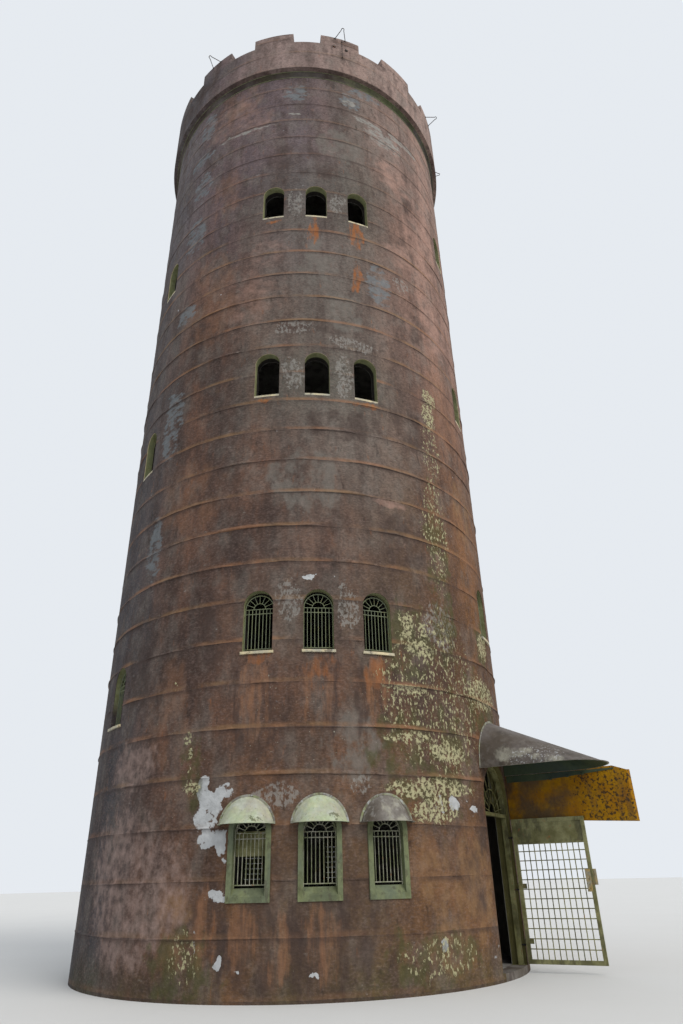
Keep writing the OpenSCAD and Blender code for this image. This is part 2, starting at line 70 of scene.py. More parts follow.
class Tone(Enum):
    """Linear colours that the finishes are mixed from."""

    EARTH = (0.180, 0.092, 0.060)
    UMBER = (0.062, 0.042, 0.036)
    OCHRE = (0.175, 0.090, 0.040)
    ASH = (0.185, 0.166, 0.146)
    BARK = (0.085, 0.066, 0.048)
    PLUM = (0.165, 0.130, 0.148)
    CLAY = (0.340, 0.165, 0.085)
    ROSE = (0.420, 0.300, 0.260)
    SLATE = (0.180, 0.200, 0.212)
    SAND = (0.300, 0.175, 0.085)
    PUTTY = (0.310, 0.295, 0.270)
    CHALK = (0.560, 0.580, 0.590)
    INK = (0.046, 0.050, 0.060)
    SALMON = (0.440, 0.270, 0.215)
    BONE = (0.400, 0.385, 0.310)
    RUST = (0.360, 0.125, 0.035)
    LICHEN = (0.520, 0.490, 0.290)
    MOSS = (0.075, 0.080, 0.030)
    SOOT = (0.020, 0.018, 0.016)
    MINT = (0.430, 0.505, 0.310)
    LIME = (0.260, 0.275, 0.140)
    SAGE = (0.190, 0.212, 0.104)
    DRAB = (0.310, 0.300, 0.140)
    OLIVE = (0.150, 0.142, 0.050)
    BOTTLE = (0.020, 0.040, 0.024)
    FERN = (0.100, 0.130, 0.050)
    CREAM = (0.700, 0.590, 0.360)
    CEMENT = (0.300, 0.290, 0.265)
    DUSK = (0.142, 0.122, 0.112)
    SPRUCE = (0.028, 0.048, 0.036)
    AMBER = (0.330, 0.140, 0.003)
    HONEY = (0.410, 0.205, 0.003)
    BAR_GREEN = (0.150, 0.175, 0.115)
    IRON = (0.070, 0.062, 0.056)
    BRASS = (0.480, 0.340, 0.130)
    EMBER = (0.175, 0.070, 0.010)
    SHADE = (0.072, 0.084, 0.066)

@dataclass(frozen=True)
class Spot:
    """Ellipsoid on the wall in which a growth shows.

    Attributes:
        bearing: Bearing of its centre.
        z: Height of its centre.
        half_w: Half of its width.
        half_h: Half of its height.
        radius: Distance of its centre from the axis.
    """

    bearing: float
    z: float
    half_w: float
    half_h: float
    radius: float = WALL_R

    def centre(self) -> Vector:
        """Returns the spot's centre in the frame."""
        turn = math.radians(self.bearing)
        return Vector((self.radius * math.sin(turn), -self.radius * math.cos(turn), self.z))


@dataclass(frozen=True)
class Growth:
    """Stain, lichen, wear, paint or painted shade that lies over a finish in some places.

    Attributes:
        tone: Its colour.
        amount: How much of it shows at most, from 0 to 1.
        spots: Where it shows, or nothing for everywhere.
        grain: Scale of its specks, or 0 where it is even.
        cover: Share of the ground that its specks cover.
        streak: How much its specks are drawn out downwards.
        soft: How gently its specks fade.
        raised: How far it stands up.
    """

    tone: Tone
    amount: float
    spots: tuple[Spot, ...] = ()
    grain: float = 0.0
    cover: float = 0.5
    streak: float = 1.0
    soft: float = 0.065
    raised: float = 0.0


@dataclass(frozen=True)
class Finish:
    """A weathered finish.

    Attributes:
        name: The material's name.
        base: Its main colour.
        second: The colour it varies towards.
        grain: Scale of that variation.
        streak: How much that is drawn out downwards.
        roughness: Its mean roughness.
        metallic: How metallic it is.
        relief: Depth of its surface grain.
        relief_grain: Scale of that grain.
        gloss: Strength of its reflections.
        growths: What lies over it.
    """

    name: str
    base: Tone
    second: Tone
    grain: float = 3.0
    streak: float = 1.0
    roughness: float = 0.7
    metallic: float = 0.0
    relief: float = 0.002
    relief_grain: float = 30.0
    gloss: float = 0.4
    growths: tuple[Growth, ...] = ()


class Shader:
    """Builds one material's node tree.

    Args:
        name: The material's name.
    """

    def __init__(self, name: str) -> None:
        """Makes the material with its surface, and reads the place on it."""
        self.material = bpy.data.materials.new(name)
        self.material.use_nodes = True
        self.tree = self.material.node_tree
        self.tree.nodes.clear()
        self.surface = self.node("ShaderNodeBsdfPrincipled")
        out = self.node("ShaderNodeOutputMaterial")
        self.tree.links.new(self.surface.outputs[0], out.inputs["Surface"])
        self.place = self.node("ShaderNodeTexCoord").outputs["Object"]
        self.x, _, self.z = self.node("ShaderNodeSeparateXYZ", {0: self.place}).outputs

    def node(self, kind: str, values: dict[int | str, Value] | None = None,
             **settings: str) -> bpy.types.Node:
        """Adds a node.

        Args:
            kind: The node's type.
            values: Values or sockets for its inputs, by index or name.
            **settings: Properties of the node.

        Returns:
            The node.
        """
        made = self.tree.nodes.new(kind)
        for key, value in settings.items():
            setattr(made, key, value)
        for key, value in (values or {}).items():
            self.give(made.inputs[key], value)
        return made

    def give(self, socket: NodeSocket, value: Value) -> None:
        """Links a socket to another, or sets its value.

        Args:
            socket: An input of a node.
            value: The socket to link it to, or its value.
        """
        if isinstance(value, NodeSocket):
            self.tree.links.new(value, socket)
        elif socket.type == "RGBA":
            socket.default_value = (*value[:3], 1.0)
        else:
            socket.default_value = value

    def dress(self, values: dict[str, Value]) -> None:
        """Sets the surface's inputs, by name."""
        for name, value in values.items():
            self.give(self.surface.inputs[name], value)

    def calc(self, operation: str, *values: Value) -> NodeSocket:
        """Returns the result of a math node."""
        return self.node("ShaderNodeMath", dict(enumerate(values)), operation=operation).outputs[0]

    def line(self, value: Value, slope: float, start: Value) -> NodeSocket:
        """Returns start plus slope times a value."""
        return self.calc("MULTIPLY_ADD", value, slope, start)

    def times(self, *values: Value) -> Value:
        """Returns the product of some values.

        Args:
            *values: Sockets or numbers.

        Returns:
            The product.
        """
        product = values[0]
        for value in values[1:]:
            product = self.calc("MULTIPLY", product, value)
        return product

    def vector(self, operation: str, *values: Value) -> NodeSocket:
        """Returns the result of a vector math node."""
        made = self.node("ShaderNodeVectorMath", dict(enumerate(values)), operation=operation)
        return made.outputs["Value" if operation == "LENGTH" else "Vector"]

    def ease(self, value: Value, low: float, high: float) -> NodeSocket:
        """Returns a smooth step that is 0 at low and 1 at high, where low may be above high.

        Args:
            value: What the step goes by.
            low: Where it is 0.
            high: Where it is 1.

        Returns:
            The socket with the step.
        """
        step = {"Value": value, "From Min": min(low, high), "From Max": max(low, high)}
        made = self.node("ShaderNodeMapRange", step, interpolation_type="SMOOTHSTEP").outputs[0]
        return made if low < high else self.calc("SUBTRACT", 1.0, made)

    def band(self, value: Value, low: float, high: float, soft: float) -> NodeSocket:
        """Returns 1 between low and high and 0 outside, with soft edges."""
        rise = self.ease(value, low - soft, low + soft)
        return self.times(rise, self.ease(value, high + soft, high - soft))

    def noise(self, scale: float, streak: float = 1.0, detail: float = 4.0, shift: float = 0.0,
              output: str = "Fac") -> NodeSocket:
        """Returns a noise pattern, as a value or as a vector ("Color").

        Args:
            scale: Patterns to a metre.
            streak: How much it is drawn out downwards.
            detail: Octaves.
            shift: Moves it, so that two of one scale differ.
            output: The noise node's output to return.

        Returns:
            The socket with the pattern.
        """
        place = self.vector("MULTIPLY_ADD", self.place, (scale, scale, scale / streak), (shift, shift, shift))
        values = {"Vector": place, "Scale": 1.0, "Detail": detail, "Roughness": 0.62}
        return self.node("ShaderNodeTexNoise", values).outputs[output]

    def mix(self, share: Value, a: Value, b: Value) -> NodeSocket:
        """Returns two colours mixed."""
        return self.node("ShaderNodeMix", {0: share, 6: a, 7: b}, data_type="RGBA").outputs[2]

    def washed(self, colour: NodeSocket, *washes: tuple[float | Tone | NodeSocket, ...]) -> NodeSocket:
        """Lays thin washes over a colour.

        Args:
            colour: The colour under them.
            *washes: Amount, tone and masks of each wash.

        Returns:
            The colour with the washes.
        """
        for amount, tone, *masks in washes:
            colour = self.mix(self.times(amount, *masks), colour, tone.value)
        return colour

    def spots(self, spots: Iterable[Spot], place: NodeSocket) -> NodeSocket:
        """Returns 1 well inside any of the spots and 0 outside them all.

        Args:
            spots: The ellipsoids.
            place: The point to test, which may be disturbed so that their edges are uneven.

        Returns:
            The socket with the mask.
        """
        nearest: Value = 9.0
        for spot in spots:
            size = Vector((1 / spot.half_w, 1 / spot.half_w, 1 / spot.half_h))
            offset = tuple(-a * b for a, b in zip(spot.centre(), size))
            scaled = self.vector("MULTIPLY_ADD", place, tuple(size), offset)
            nearest = self.calc("MINIMUM", nearest, self.vector("LENGTH", scaled))
        return self.ease(nearest, 1.25, 0.6)


@dataclass
class Paint:
    """Makes the materials, each once.

    Attributes:
        uneven: How far the edges of spots are disturbed, in metres.
        made: The materials made so far, by name.
    """

    uneven: float = 0.22
    made: dict[str, Material] = field(default_factory=dict)

    def material(self, finish: Finish) -> Material:
        """Returns the material of a finish, and makes it at its first use.

        Args:
            finish: The finish.

        Returns:
            Its material.
        """
        if finish.name not in self.made:
            self.made[finish.name] = self.mixed(finish)
            LOG.info("finish %s", finish.name)
        return self.made[finish.name]

    def mixed(self, finish: Finish) -> Material:
        """Makes a finish's material.

        Args:
            finish: The finish.

        Returns:
            The material.
        """
        shader = Shader(finish.name)
        wave = shader.ease(shader.noise(finish.grain, finish.streak), 0.32, 0.68)
        colour = shader.mix(wave, finish.base.value, finish.second.value)
        if finish is WALL:
            colour = self.wall_tones(shader, colour)
        height = shader.times(shader.noise(finish.relief_grain, detail=3.0), finish.relief)
        colour, height = self.grown(shader, finish.growths, colour, height)
        if finish is WALL:
            colour = self.reveals(shader, self.wall_joints(shader, colour))
        fine = shader.noise(finish.relief_grain * 0.6, detail=2.0, shift=3.0)
        colour = shader.mix(shader.line(fine, 0.5, -0.05), colour, (0.0, 0.0, 0.0))
        bump = shader.node("ShaderNodeBump", {"Height": height, "Distance": 1.0, "Strength": 1.0})
        shader.dress({"Base Color": colour, "Metallic": finish.metallic, "Specular IOR Level": finish.gloss,
                      "Roughness": shader.line(wave, 0.16, finish.roughness - 0.08),
                      "Normal": bump.outputs[0]})
        return shader.material

    def grown(self, shader: Shader, growths: Iterable[Growth], colour: NodeSocket,
              height: NodeSocket) -> tuple[NodeSocket, NodeSocket]:
        """Lays growths over a colour and a height.

        Args:
            shader: Builds the material.
            growths: What lies over the ground.
            colour: The ground's colour.
            height: Its relief.

        Returns:
            The colour and the relief with the growths.
        """
        shaken = shader.noise(1.7, detail=5.0, output="Color")
        shaken = shader.vector("MULTIPLY_ADD", shaken, (self.uneven * 2,) * 3, (-self.uneven,) * 3)
        place = shader.vector("ADD", shader.place, shaken)
        for number, growth in enumerate(growths):
            here: Value = shader.spots(growth.spots, place) if growth.spots else 1.0
            if growth.grain:
                specks = shader.noise(growth.grain, growth.streak, shift=number * 5.3)
                edge = 0.5 + (0.5 - growth.cover) * 0.42
                if growth.spots:
                    specks = shader.calc("ADD", specks, shader.line(here, 0.3, -0.3))
                here = shader.ease(specks, edge - 0.4 * growth.soft, edge + 0.6 * growth.soft)
            mask = shader.times(here, growth.amount)
            colour = shader.mix(mask, colour, growth.tone.value)
            if growth.raised:
                height = shader.line(mask, growth.raised, height)
        return colour, height

    def wall_tones(self, shader: Shader, colour: NodeSocket) -> NodeSocket:
        """Adds the round wall's broad changes of tone from side to side and up the tower, partly painted
        sunlight and shade.

        Args:
            shader: Builds the material.
            colour: The colour under them.

        Returns:
            The changed colour.
        """
        x, z, ease, band = shader.x, shader.z, shader.ease, shader.band
        uneven = ease(shader.noise(0.45, 2.5, shift=11.0), 0.34, 0.6)
        drips = ease(shader.noise(2.4, 8.0, shift=23.0), 0.42, 0.66)
        across = shader.calc("ABSOLUTE", shader.calc("SUBTRACT", x, 0.3))
        by_windows = ((4.3, 5.5), (8.9, 10.3), (13.6, 15.9))
        return shader.washed(
            colour,
            (0.75, Tone.OCHRE, ease(z, 4.8, 0.8), ease(x, -2.4, -0.4)),
            (0.85, Tone.OCHRE, ease(z, 9.5, 6.0), ease(x, 0.4, 1.8)),
            # Painted shade on the lower right: the next two washes darken it with umber and a dark orange.
            (0.40, Tone.UMBER, band(z, 2.4, 7.0, 1.4), ease(x, 0.8, 1.8)),
            (0.50, Tone.EMBER, band(z, 3.0, 7.6, 1.2), ease(x, 1.7, 2.7)),
            (0.75, Tone.ASH, ease(across, 2.5, 0.5), ease(z, 4.5, 8.0), uneven),
            # Painted sunlight: a warmer, lighter clay on the right side, in uneven patches.
            (0.45, Tone.CLAY, ease(x, 1.8, 3.2), ease(z, 4.0, 8.5), uneven),
            (0.70, Tone.PLUM, ease(z, 11.0, 16.0), ease(x, 1.4, -0.2)),
            (0.60, Tone.SALMON, band(z, 10.0, 16.5, 2.0), ease(x, 0.9, 2.6)),
            (0.50, Tone.SALMON, band(z, 12.2, 16.9, 0.7), ease(x, 2.0, 2.8)),
            # Partly painted sunlight and skylight, partly paler weathered render: rose higher up on the
            # right.
            (0.62, Tone.ROSE, ease(z, 14.5, 18.0), ease(x, 0.6, 2.4)),
            (0.62, Tone.ROSE, ease(z, 19.3, 19.5), ease(x, -2.6, -0.8)),
            (0.30, Tone.ROSE, ease(z, 19.45, 19.5), ease(x, 1.5, 2.2)),
            # Painted shade and painted reflection of the blue sky: slate on the far left.
            (0.42, Tone.SLATE, ease(x, -2.1, -3.3)),
            # Partly painted shade, partly soot: the next two washes darken the parapet on its left.
            (0.60, Tone.INK, ease(z, 19.45, 19.5), ease(x, -2.4, -2.9)),
            (0.50, Tone.INK, band(z, 20.05, 20.56, 0.12), ease(x, -1.2, -1.9)),
            # Painted shade: ink darkening the far left through the middle storeys.
            (0.30, Tone.INK, ease(x, -2.9, -3.25), band(z, 6.8, 14.4, 1.0)),
            *((0.42, Tone.SHADE, band(z, *span, 0.6), ease(across, 2.0, 0.9)) for span in by_windows),
            (0.30, Tone.SHADE, ease(z, 2.6, 1.2), ease(across, 1.3, 0.6)),
            # Painted shade: the next two washes darken the far left, low down and near the top.
            (0.80, Tone.INK, ease(x, -2.3, -3.2), ease(z, 12.0, 6.0)),
            (0.35, Tone.INK, ease(x, -2.7, -3.3), ease(z, 18.5, 17.0)),
            (0.65, Tone.MOSS, ease(z, 0.6, 0.0), uneven),
            (0.45, Tone.UMBER, drips))

    def wall_joints(self, shader: Shader, colour: NodeSocket) -> NodeSocket:
        """Adds a pale painted highlight on the lip above each joint between pours, and a painted shadow line
        under it.

        Args:
            shader: Builds the material.
            colour: The colour under them.

        Returns:
            The changed colour.
        """
        ease = shader.ease
        wander = shader.line(shader.noise(1.1, shift=51.0), 0.04, 39.98 - PourJoints.first / PourJoints.pitch)
        part = shader.calc("FRACT", shader.line(shader.z, 1 / PourJoints.pitch, wander))
        low = shader.line(shader.band(shader.z, 2.4, 14.5, 1.2), 0.65, 0.35)
        broken = ease(shader.noise(0.9, 0.3, shift=31.0), 0.40, 0.62)
        shadow_breaks = ease(shader.noise(1.2, shift=37.0), 0.35, 0.6)
        warm = shader.mix(ease(shader.noise(0.7, shift=43.0), 0.42, 0.58), Tone.CLAY.value, Tone.SAND.value)
        # Painted shadow: a dark line just under each joint's lip, broken up in patches.
        colour = shader.washed(colour, (0.55, Tone.UMBER, ease(part, 0.86, 0.98), shadow_breaks))
        # Painted highlight: a pale warm band on the lip just above each joint, where it catches the light.
        return shader.mix(shader.times(0.55, ease(part, 0.14, 0.04), broken, low), colour, warm)

    def reveals(self, shader: Shader, colour: NodeSocket) -> NodeSocket:
        """Paints the openings' cut faces and the walls' inner face, by their distance from the axis, with
        painted shade deep in the upper openings.

        Args:
            shader: Builds the material.
            colour: The colour of the outer face.

        Returns:
            The colour of all faces.
        """
        radius = shader.vector("LENGTH", shader.vector("MULTIPLY", shader.place, (1.0, 1.0, 0.0)))
        ease, band = shader.ease, shader.band
        worn = ease(shader.noise(7.0, shift=41.0), 0.45, 0.65)
        upper = band(shader.z, 4.0, 17.0, 0.2)
        painted = shader.times(band(radius, 3.612, 3.74, 0.006), upper)
        return shader.washed(
            colour,
            (0.90, Tone.LIME, painted),
            (0.45, Tone.OLIVE, painted, worn),
            (0.85, Tone.OLIVE, band(radius, 3.49, 3.742, 0.004), ease(shader.z, 3.1, 3.0)),
            (0.85, Tone.CREAM, band(radius, 3.736, 3.7475, 0.002), band(shader.z, 8.0, 17.0, 0.2)),
            # Painted shade: near-black on the inner part of the upper openings' reveals.
            (0.92, Tone.SOOT, ease(radius, 3.615, 3.605), upper),
            (0.85, Tone.CEMENT, ease(radius, 3.512, 3.503)))


def grime(amount: float = 0.5, tone: Tone = Tone.SOOT, grain: float = 5.0, streak: float = 4.0,
          cover: float = 0.4, soft: float = 0.065) -> Growth:
    """Returns dirt that shows all over."""
    return Growth(tone, amount, (), grain, cover, streak, soft)


def patches(tone: Tone, amount: float, grain: float, places: Rows, cover: float = 0.5,
            streak: float = 1.0, soft: float = 0.065, raised: float = 0.0) -> Growth:
    """Returns a growth at places on the wall, each with the values of a spot."""
    return Growth(tone, amount, tuple(Spot(*place) for place in places), grain, cover, streak, soft, raised)


WALL = Finish("weathered_render", Tone.EARTH, Tone.UMBER, grain=1.6, streak=3.0, roughness=0.9, relief=0.012,
              relief_grain=16.0, gloss=0.12, growths=(
    grime(0.45, Tone.ASH, 2.6, 1.6, 0.40, 0.25),
    grime(0.50, Tone.UMBER, 4.5, 2.5, 0.36, 0.20),
    grime(0.40, Tone.UMBER, 17.0, 0.5, 0.42, 0.16),
    grime(0.16, Tone.ROSE, 20.0, 0.5, 0.40, 0.25),
    grime(0.45, Tone.SOOT, 11.0, 3.0, 0.16, 0.12),
    patches(Tone.CLAY, 0.26, 3.5, (
        (-33, 7.4, 0.9, 0.9), (-34, 3.6, 0.5, 1.0), (-26, 0.9, 0.4, 0.7), (-6, 0.7, 0.25, 0.7),
        (40, 1.3, 0.6, 0.8), (52, 6.6, 0.7, 1.4), (28, 1.4, 0.4, 0.5), (-32, 12.2, 0.7, 1.6),
        (-27, 18.8, 0.7, 0.9), (-30, 15.4, 0.5, 1.0), (50, 10.0, 0.7, 1.4)), cover=0.6, streak=1.5, soft=0.4),
    patches(Tone.SALMON, 0.55, 3.0, (
        (33, 16.3, 0.7, 0.6), (48, 14.6, 0.8, 1.5), (55, 17.6, 0.6, 1.4), (50, 12.0, 0.7, 0.8),
        (34, 13.6, 0.5, 0.5), (24, 7.1, 0.5, 0.1), (56, 19.0, 0.7, 0.4)), cover=0.55, streak=0.6, soft=0.35),
    patches(Tone.UMBER, 0.62, 3.0, (
        (-5, 16.1, 0.75, 0.6), (4, 15.6, 0.6, 0.3), (41, 15.6, 0.2, 0.6), (4, 10.9, 0.8, 0.25),
        (38, 11.6, 0.5, 0.5), (10, 8.6, 0.9, 0.4), (-16.6, 0.6, 0.06, 0.5), (-8.0, 0.6, 0.06, 0.55),
        (-1.6, 0.6, 0.06, 0.5), (7.2, 0.6, 0.08, 0.5), (-22, 4.8, 0.4, 0.8), (32, 8.8, 0.5, 0.6),
        (-8, 3.1, 0.7, 0.4), (-3, 0.8, 1.6, 0.9), (5, 0.7, 1.2, 0.6), (30, 4.0, 0.9, 1.0),
        (44, 1.6, 0.7, 0.9), (28, 6.4, 0.7, 0.7), (-48, 4.6, 0.6, 1.2), (14, 20.8, 0.45, 0.14, PARAPET_R),
        (-8, 20.93, 0.45, 0.05, PARAPET_R), (30, 20.5, 0.3, 0.15, PARAPET_R),
        (-52, 20.1, 0.9, 0.7, PARAPET_R)), cover=0.6, streak=1.5, soft=0.3),
    patches(Tone.SLATE, 0.75, 5.0, (
        (-42, 18.6, 0.32, 0.6), (-44, 17.4, 0.5, 0.25), (-42, 16.2, 0.36, 0.6), (-43, 14.6, 0.4, 0.7),
        (-43, 12.1, 0.36, 0.4), (-44, 9.3, 0.36, 1.0), (-46, 6.6, 0.25, 0.8), (-4, 18.6, 0.4, 0.4),
        (17, 18.6, 0.35, 0.4), (24, 12.4, 0.35, 0.7), (24, 19.1, 0.5, 0.2)),
        cover=0.6, streak=0.5, soft=0.16),
    patches(Tone.ASH, 0.7, 4.0, (
        (12, 16.7, 0.7, 0.7), (3, 12.6, 0.5, 0.9), (12, 11.4, 0.6, 0.6), (0, 7.4, 0.8, 0.7),
        (11, 3.0, 0.5, 0.6)), cover=0.62, streak=1.5, soft=0.22),
    patches(Tone.SAND, 0.50, 5.0, (
        (41, 1.2, 0.6, 0.8), (29, 1.4, 0.35, 0.7), (-27, 0.8, 0.3, 0.5), (34, 0.5, 0.6, 0.4),
        (54, 7.6, 0.5, 0.8)), cover=0.55, streak=1.5, soft=0.35),
    patches(Tone.ROSE, 0.60, 8.0, (
        (-45, 1.5, 1.0, 0.9), (-33, 1.2, 0.7, 0.8), (-44, 2.9, 0.6, 0.4), (-40, 0.6, 0.7, 0.4)),
        cover=0.58, streak=1.2, soft=0.5),
    patches(Tone.SALMON, 0.42, 3.5, (
        (-18, 11.8, 0.7, 0.9), (-30, 18.2, 0.9, 0.9), (-20, 17.7, 0.7, 0.5), (-12, 13.0, 0.5, 0.4)),
        cover=0.5, streak=0.7, soft=0.5),
    patches(Tone.UMBER, 0.70, 8.0, (
        (-16.8, 0.6, 0.12, 0.7), (-7.6, 0.6, 0.12, 0.7), (-1.6, 0.6, 0.12, 0.6), (7.4, 0.6, 0.14, 0.7),
        (-15, 3.6, 0.12, 0.8), (-7, 3.6, 0.12, 0.8), (6.5, 3.7, 0.12, 0.7), (13, 3.7, 0.12, 0.7),
        (21, 3.6, 0.15, 0.7)), cover=0.62, streak=7.0, soft=0.3),
    patches(Tone.CLAY, 0.50, 9.0, (
        (-12, 0.7, 0.25, 0.5), (-4.5, 0.6, 0.2, 0.5), (3.5, 0.6, 0.25, 0.5), (-20, 0.8, 0.2, 0.6),
        (-11, 3.7, 0.3, 0.7), (3.4, 3.7, 0.3, 0.7), (17, 3.8, 0.25, 0.6)), cover=0.5, streak=7.0, soft=0.3),
    patches(Tone.PUTTY, 0.88, 6.0, (
        (31, 17.65, 0.62, 0.36), (42, 18.05, 0.7, 0.12), (-25, 17.42, 0.9, 0.07), (-4, 17.8, 0.2, 0.06),
        (15.5, 18.5, 0.18, 0.14), (24, 18.0, 0.5, 0.1)), cover=0.66, streak=0.45, soft=0.2),
    patches(Tone.PUTTY, 0.60, 22.0, (
        (-4, 9.7, 0.24, 0.5), (11, 9.7, 0.22, 0.6), (14, 10.55, 0.6, 0.2), (-4, 14.5, 0.22, 0.5),
        (10.8, 14.6, 0.2, 0.45), (33.5, 12.7, 0.25, 0.25), (-4, 5.2, 0.25, 0.5), (10, 5.1, 0.22, 0.5),
        (-4, 10.9, 0.5, 0.2), (12, 2.5, 0.2, 0.2), (-6, 2.35, 0.5, 0.2), (37, 5.0, 0.5, 0.5)),
        cover=0.5, streak=1.5, soft=0.12),
    patches(Tone.RUST, 0.50, 12.0, (
        (3.2, 4.16, 0.24, 0.2), (16.8, 4.08, 0.2, 0.3), (-11, 4.28, 0.2, 0.09)),
        cover=0.6, streak=4.0, soft=0.35),
    patches(Tone.RUST, 0.80, 12.0, (
        (3, 13.62, 0.13, 0.5), (16.8, 13.7, 0.2, 0.42), (16.5, 12.4, 0.14, 0.5), (17.5, 9.08, 0.32, 0.08),
        (-12, 9.12, 0.2, 0.05), (-11, 13.95, 0.2, 0.05)), cover=0.64, streak=4.0, soft=0.28),
    patches(Tone.CHALK, 0.85, 4.0, (
        (-21, 2.13, 0.26, 0.46), (-21.8, 2.5, 0.12, 0.2), (-17.2, 1.72, 0.11, 0.36),
        (-18.0, 1.12, 0.16, 0.10), (-17.4, 2.42, 0.16, 0.13), (32.0, 2.2, 0.10, 0.16),
        (36.2, 2.26, 0.14, 0.12), (40, 2.28, 0.09, 0.11), (43.6, 2.18, 0.12, 0.08), (-6, 4.55, 0.08, 0.07),
        (1, 5.6, 0.10, 0.05), (-16.5, 0.45, 0.06, 0.08), (-13, 0.32, 0.06, 0.05), (30, 0.5, 0.07, 0.09),
        (-21.5, 0.7, 0.06, 0.16), (2, 0.33, 0.08, 0.04)), cover=0.62, soft=0.05, raised=0.002),
    patches(Tone.MOSS, 0.60, 5.0, (
        (30, 2.9, 1.2, 0.9), (52, 3.9, 0.8, 0.7), (26, 4.6, 0.6, 0.8), (39, 5.8, 0.4, 2.3),
        (-25, 2.7, 0.25, 0.6), (28, 0.4, 1.0, 0.4), (-24, 0.4, 0.7, 0.5), (58, 5.0, 0.4, 0.5)),
        cover=0.56, streak=1.5, soft=0.2),
    patches(Tone.LICHEN, 0.80, 21.0, (
        (26, 4.92, 0.14, 0.26), (28.5, 4.56, 0.34, 0.13), (30.5, 4.85, 0.13, 0.18), (23.8, 5.05, 0.1, 0.1),
        (25, 3.84, 0.45, 0.09), (24.5, 3.14, 0.55, 0.10), (31, 2.46, 1.05, 0.15), (30, 2.16, 0.5, 0.2),
        (54, 4.05, 0.75, 0.36), (59, 4.95, 0.3, 0.35), (36, 3.0, 0.5, 0.2), (-31.5, 4.02, 0.05, 0.13),
        (-26.5, 3.2, 0.1, 0.12), (-24.8, 2.5, 0.2, 0.1), (-26, 2.85, 0.05, 0.25), (42, 9.9, 0.25, 0.25),
        (41, 9.4, 0.2, 0.4)), cover=0.54, soft=0.12, raised=0.006),
    patches(Tone.LICHEN, 0.75, 24.0, (
        (34, 3.9, 1.4, 1.7), (39, 6.8, 0.4, 1.6), (40, 8.6, 0.35, 0.9), (30, 0.4, 0.9, 0.3),
        (-24, 0.5, 0.3, 0.4)), cover=0.33, streak=1.8, soft=0.07, raised=0.004),
    patches(Tone.BONE, 0.70, 27.0, ((2, 3.4, 1.9, 1.2), (-28, 3.0, 0.8, 1.4)), cover=0.06, raised=0.002),
))
CAST = Finish("cast_concrete", Tone.CEMENT, Tone.ASH, roughness=0.85, relief=0.004, growths=(grime(0.4,
              Tone.UMBER),))
# Dark brown step: partly dirt, partly painted shade of the entrance hood.
STEP = Finish("dirty_shaded_step", Tone.BARK, Tone.ASH, roughness=0.9, relief=0.003, growths=(grime(0.6,
              Tone.UMBER),))
COVE = Finish("cove_paint", Tone.UMBER, Tone.DUSK, grain=1.2, roughness=0.85, relief=0.003,
              gloss=0.15, growths=(
    patches(Tone.LIME, 0.45, 2.5, ((26, 19.36, 1.3, 0.4, 3.79),), 0.62, soft=0.3),
    patches(Tone.FERN, 0.6, 2.5, ((44, 19.36, 1.5, 0.4, 3.79), (215, 19.36, 1.5, 0.4, 3.79)), 0.6, soft=0.2),
    grime(0.4, Tone.MOSS, 1.6, 1.0, 0.4, 0.2), grime(0.4, Tone.SOOT, 1.2, 0.5, 0.5, 0.3)))
TRIM = Finish("weathered_trim", Tone.SAGE, Tone.BAR_GREEN, grain=4.0, streak=2.0, roughness=0.8, relief=0.003,
              gloss=0.2, growths=(
    grime(0.35, Tone.MOSS, 3.0, 1.0, 0.4), grime(0.4, Tone.UMBER, 12.0, 2.0, 0.3)))
SILL = Finish("worn_sill", Tone.CREAM, Tone.BONE, grain=6.0, roughness=0.75, growths=(
    grime(0.6, Tone.UMBER, 9.0, 1.0, 0.3),))
BEAD = Finish("pale_bead", Tone.SAGE, Tone.LIME, grain=3.0, roughness=0.75, growths=(
    grime(0.7, Tone.MOSS, 3.0, 1.0, 0.5),))
MINT_SHEET = Finish("mint_sheet", Tone.MINT, Tone.BONE, grain=2.2, roughness=0.55, relief=0.0015, growths=(
    grime(0.35, Tone.CHALK, 6.0, 2.0, 0.45, 0.25), grime(0.35, Tone.LICHEN, 9.0, 2.0, 0.4, 0.2),
    grime(0.5, Tone.UMBER, 30.0, 1.0, 0.16, 0.1),
    patches(Tone.MOSS, 0.75, 18.0, ((-8.6, 2.09, 0.16, 0.07, 4.0), (6.6, 2.08, 0.14, 0.06, 4.0)), 0.55)))
GREY_SHEET = Finish("grey_sheet", Tone.BARK, Tone.ASH, grain=3.0, streak=3.0, roughness=0.6, growths=(
    grime(0.7, Tone.BONE, 5.0, 4.0, 0.36, 0.2), grime(0.6, Tone.PUTTY, 14.0, 2.0, 0.3, 0.12)))
HOOD_TOP = Finish("hood_paint", Tone.DUSK, Tone.BARK, grain=1.3, roughness=0.6, relief=0.0015,
                  gloss=0.25, growths=(
    grime(0.5, Tone.SOOT, 2.5, 3.0, 0.35, 0.2), grime(0.35, Tone.ASH, 9.0, 1.0, 0.4, 0.15),
    patches(Tone.BONE, 0.7, 5.0, ((49.5, 3.03, 0.42, 0.14, 4.25), (50.5, 2.9, 0.4, 0.05, 4.8)),
            0.58, 2.0, 0.25),
    patches(Tone.CHALK, 0.6, 30.0, ((51, 2.95, 0.6, 0.2, 4.6),), 0.28)))
HOOD_UNDER = Finish("hood_underside", Tone.SPRUCE, Tone.FERN, roughness=0.6, growths=(
    grime(0.6, Tone.BOTTLE, 1.5, 1.0, 0.55),))
EDGE = Finish("worn_edge", Tone.PUTTY, Tone.LIME, grain=8.0, roughness=0.7, growths=(
    grime(0.5, Tone.UMBER, 9.0, 1.0), grime(0.5, Tone.CHALK, 14.0, 1.0, 0.3)))
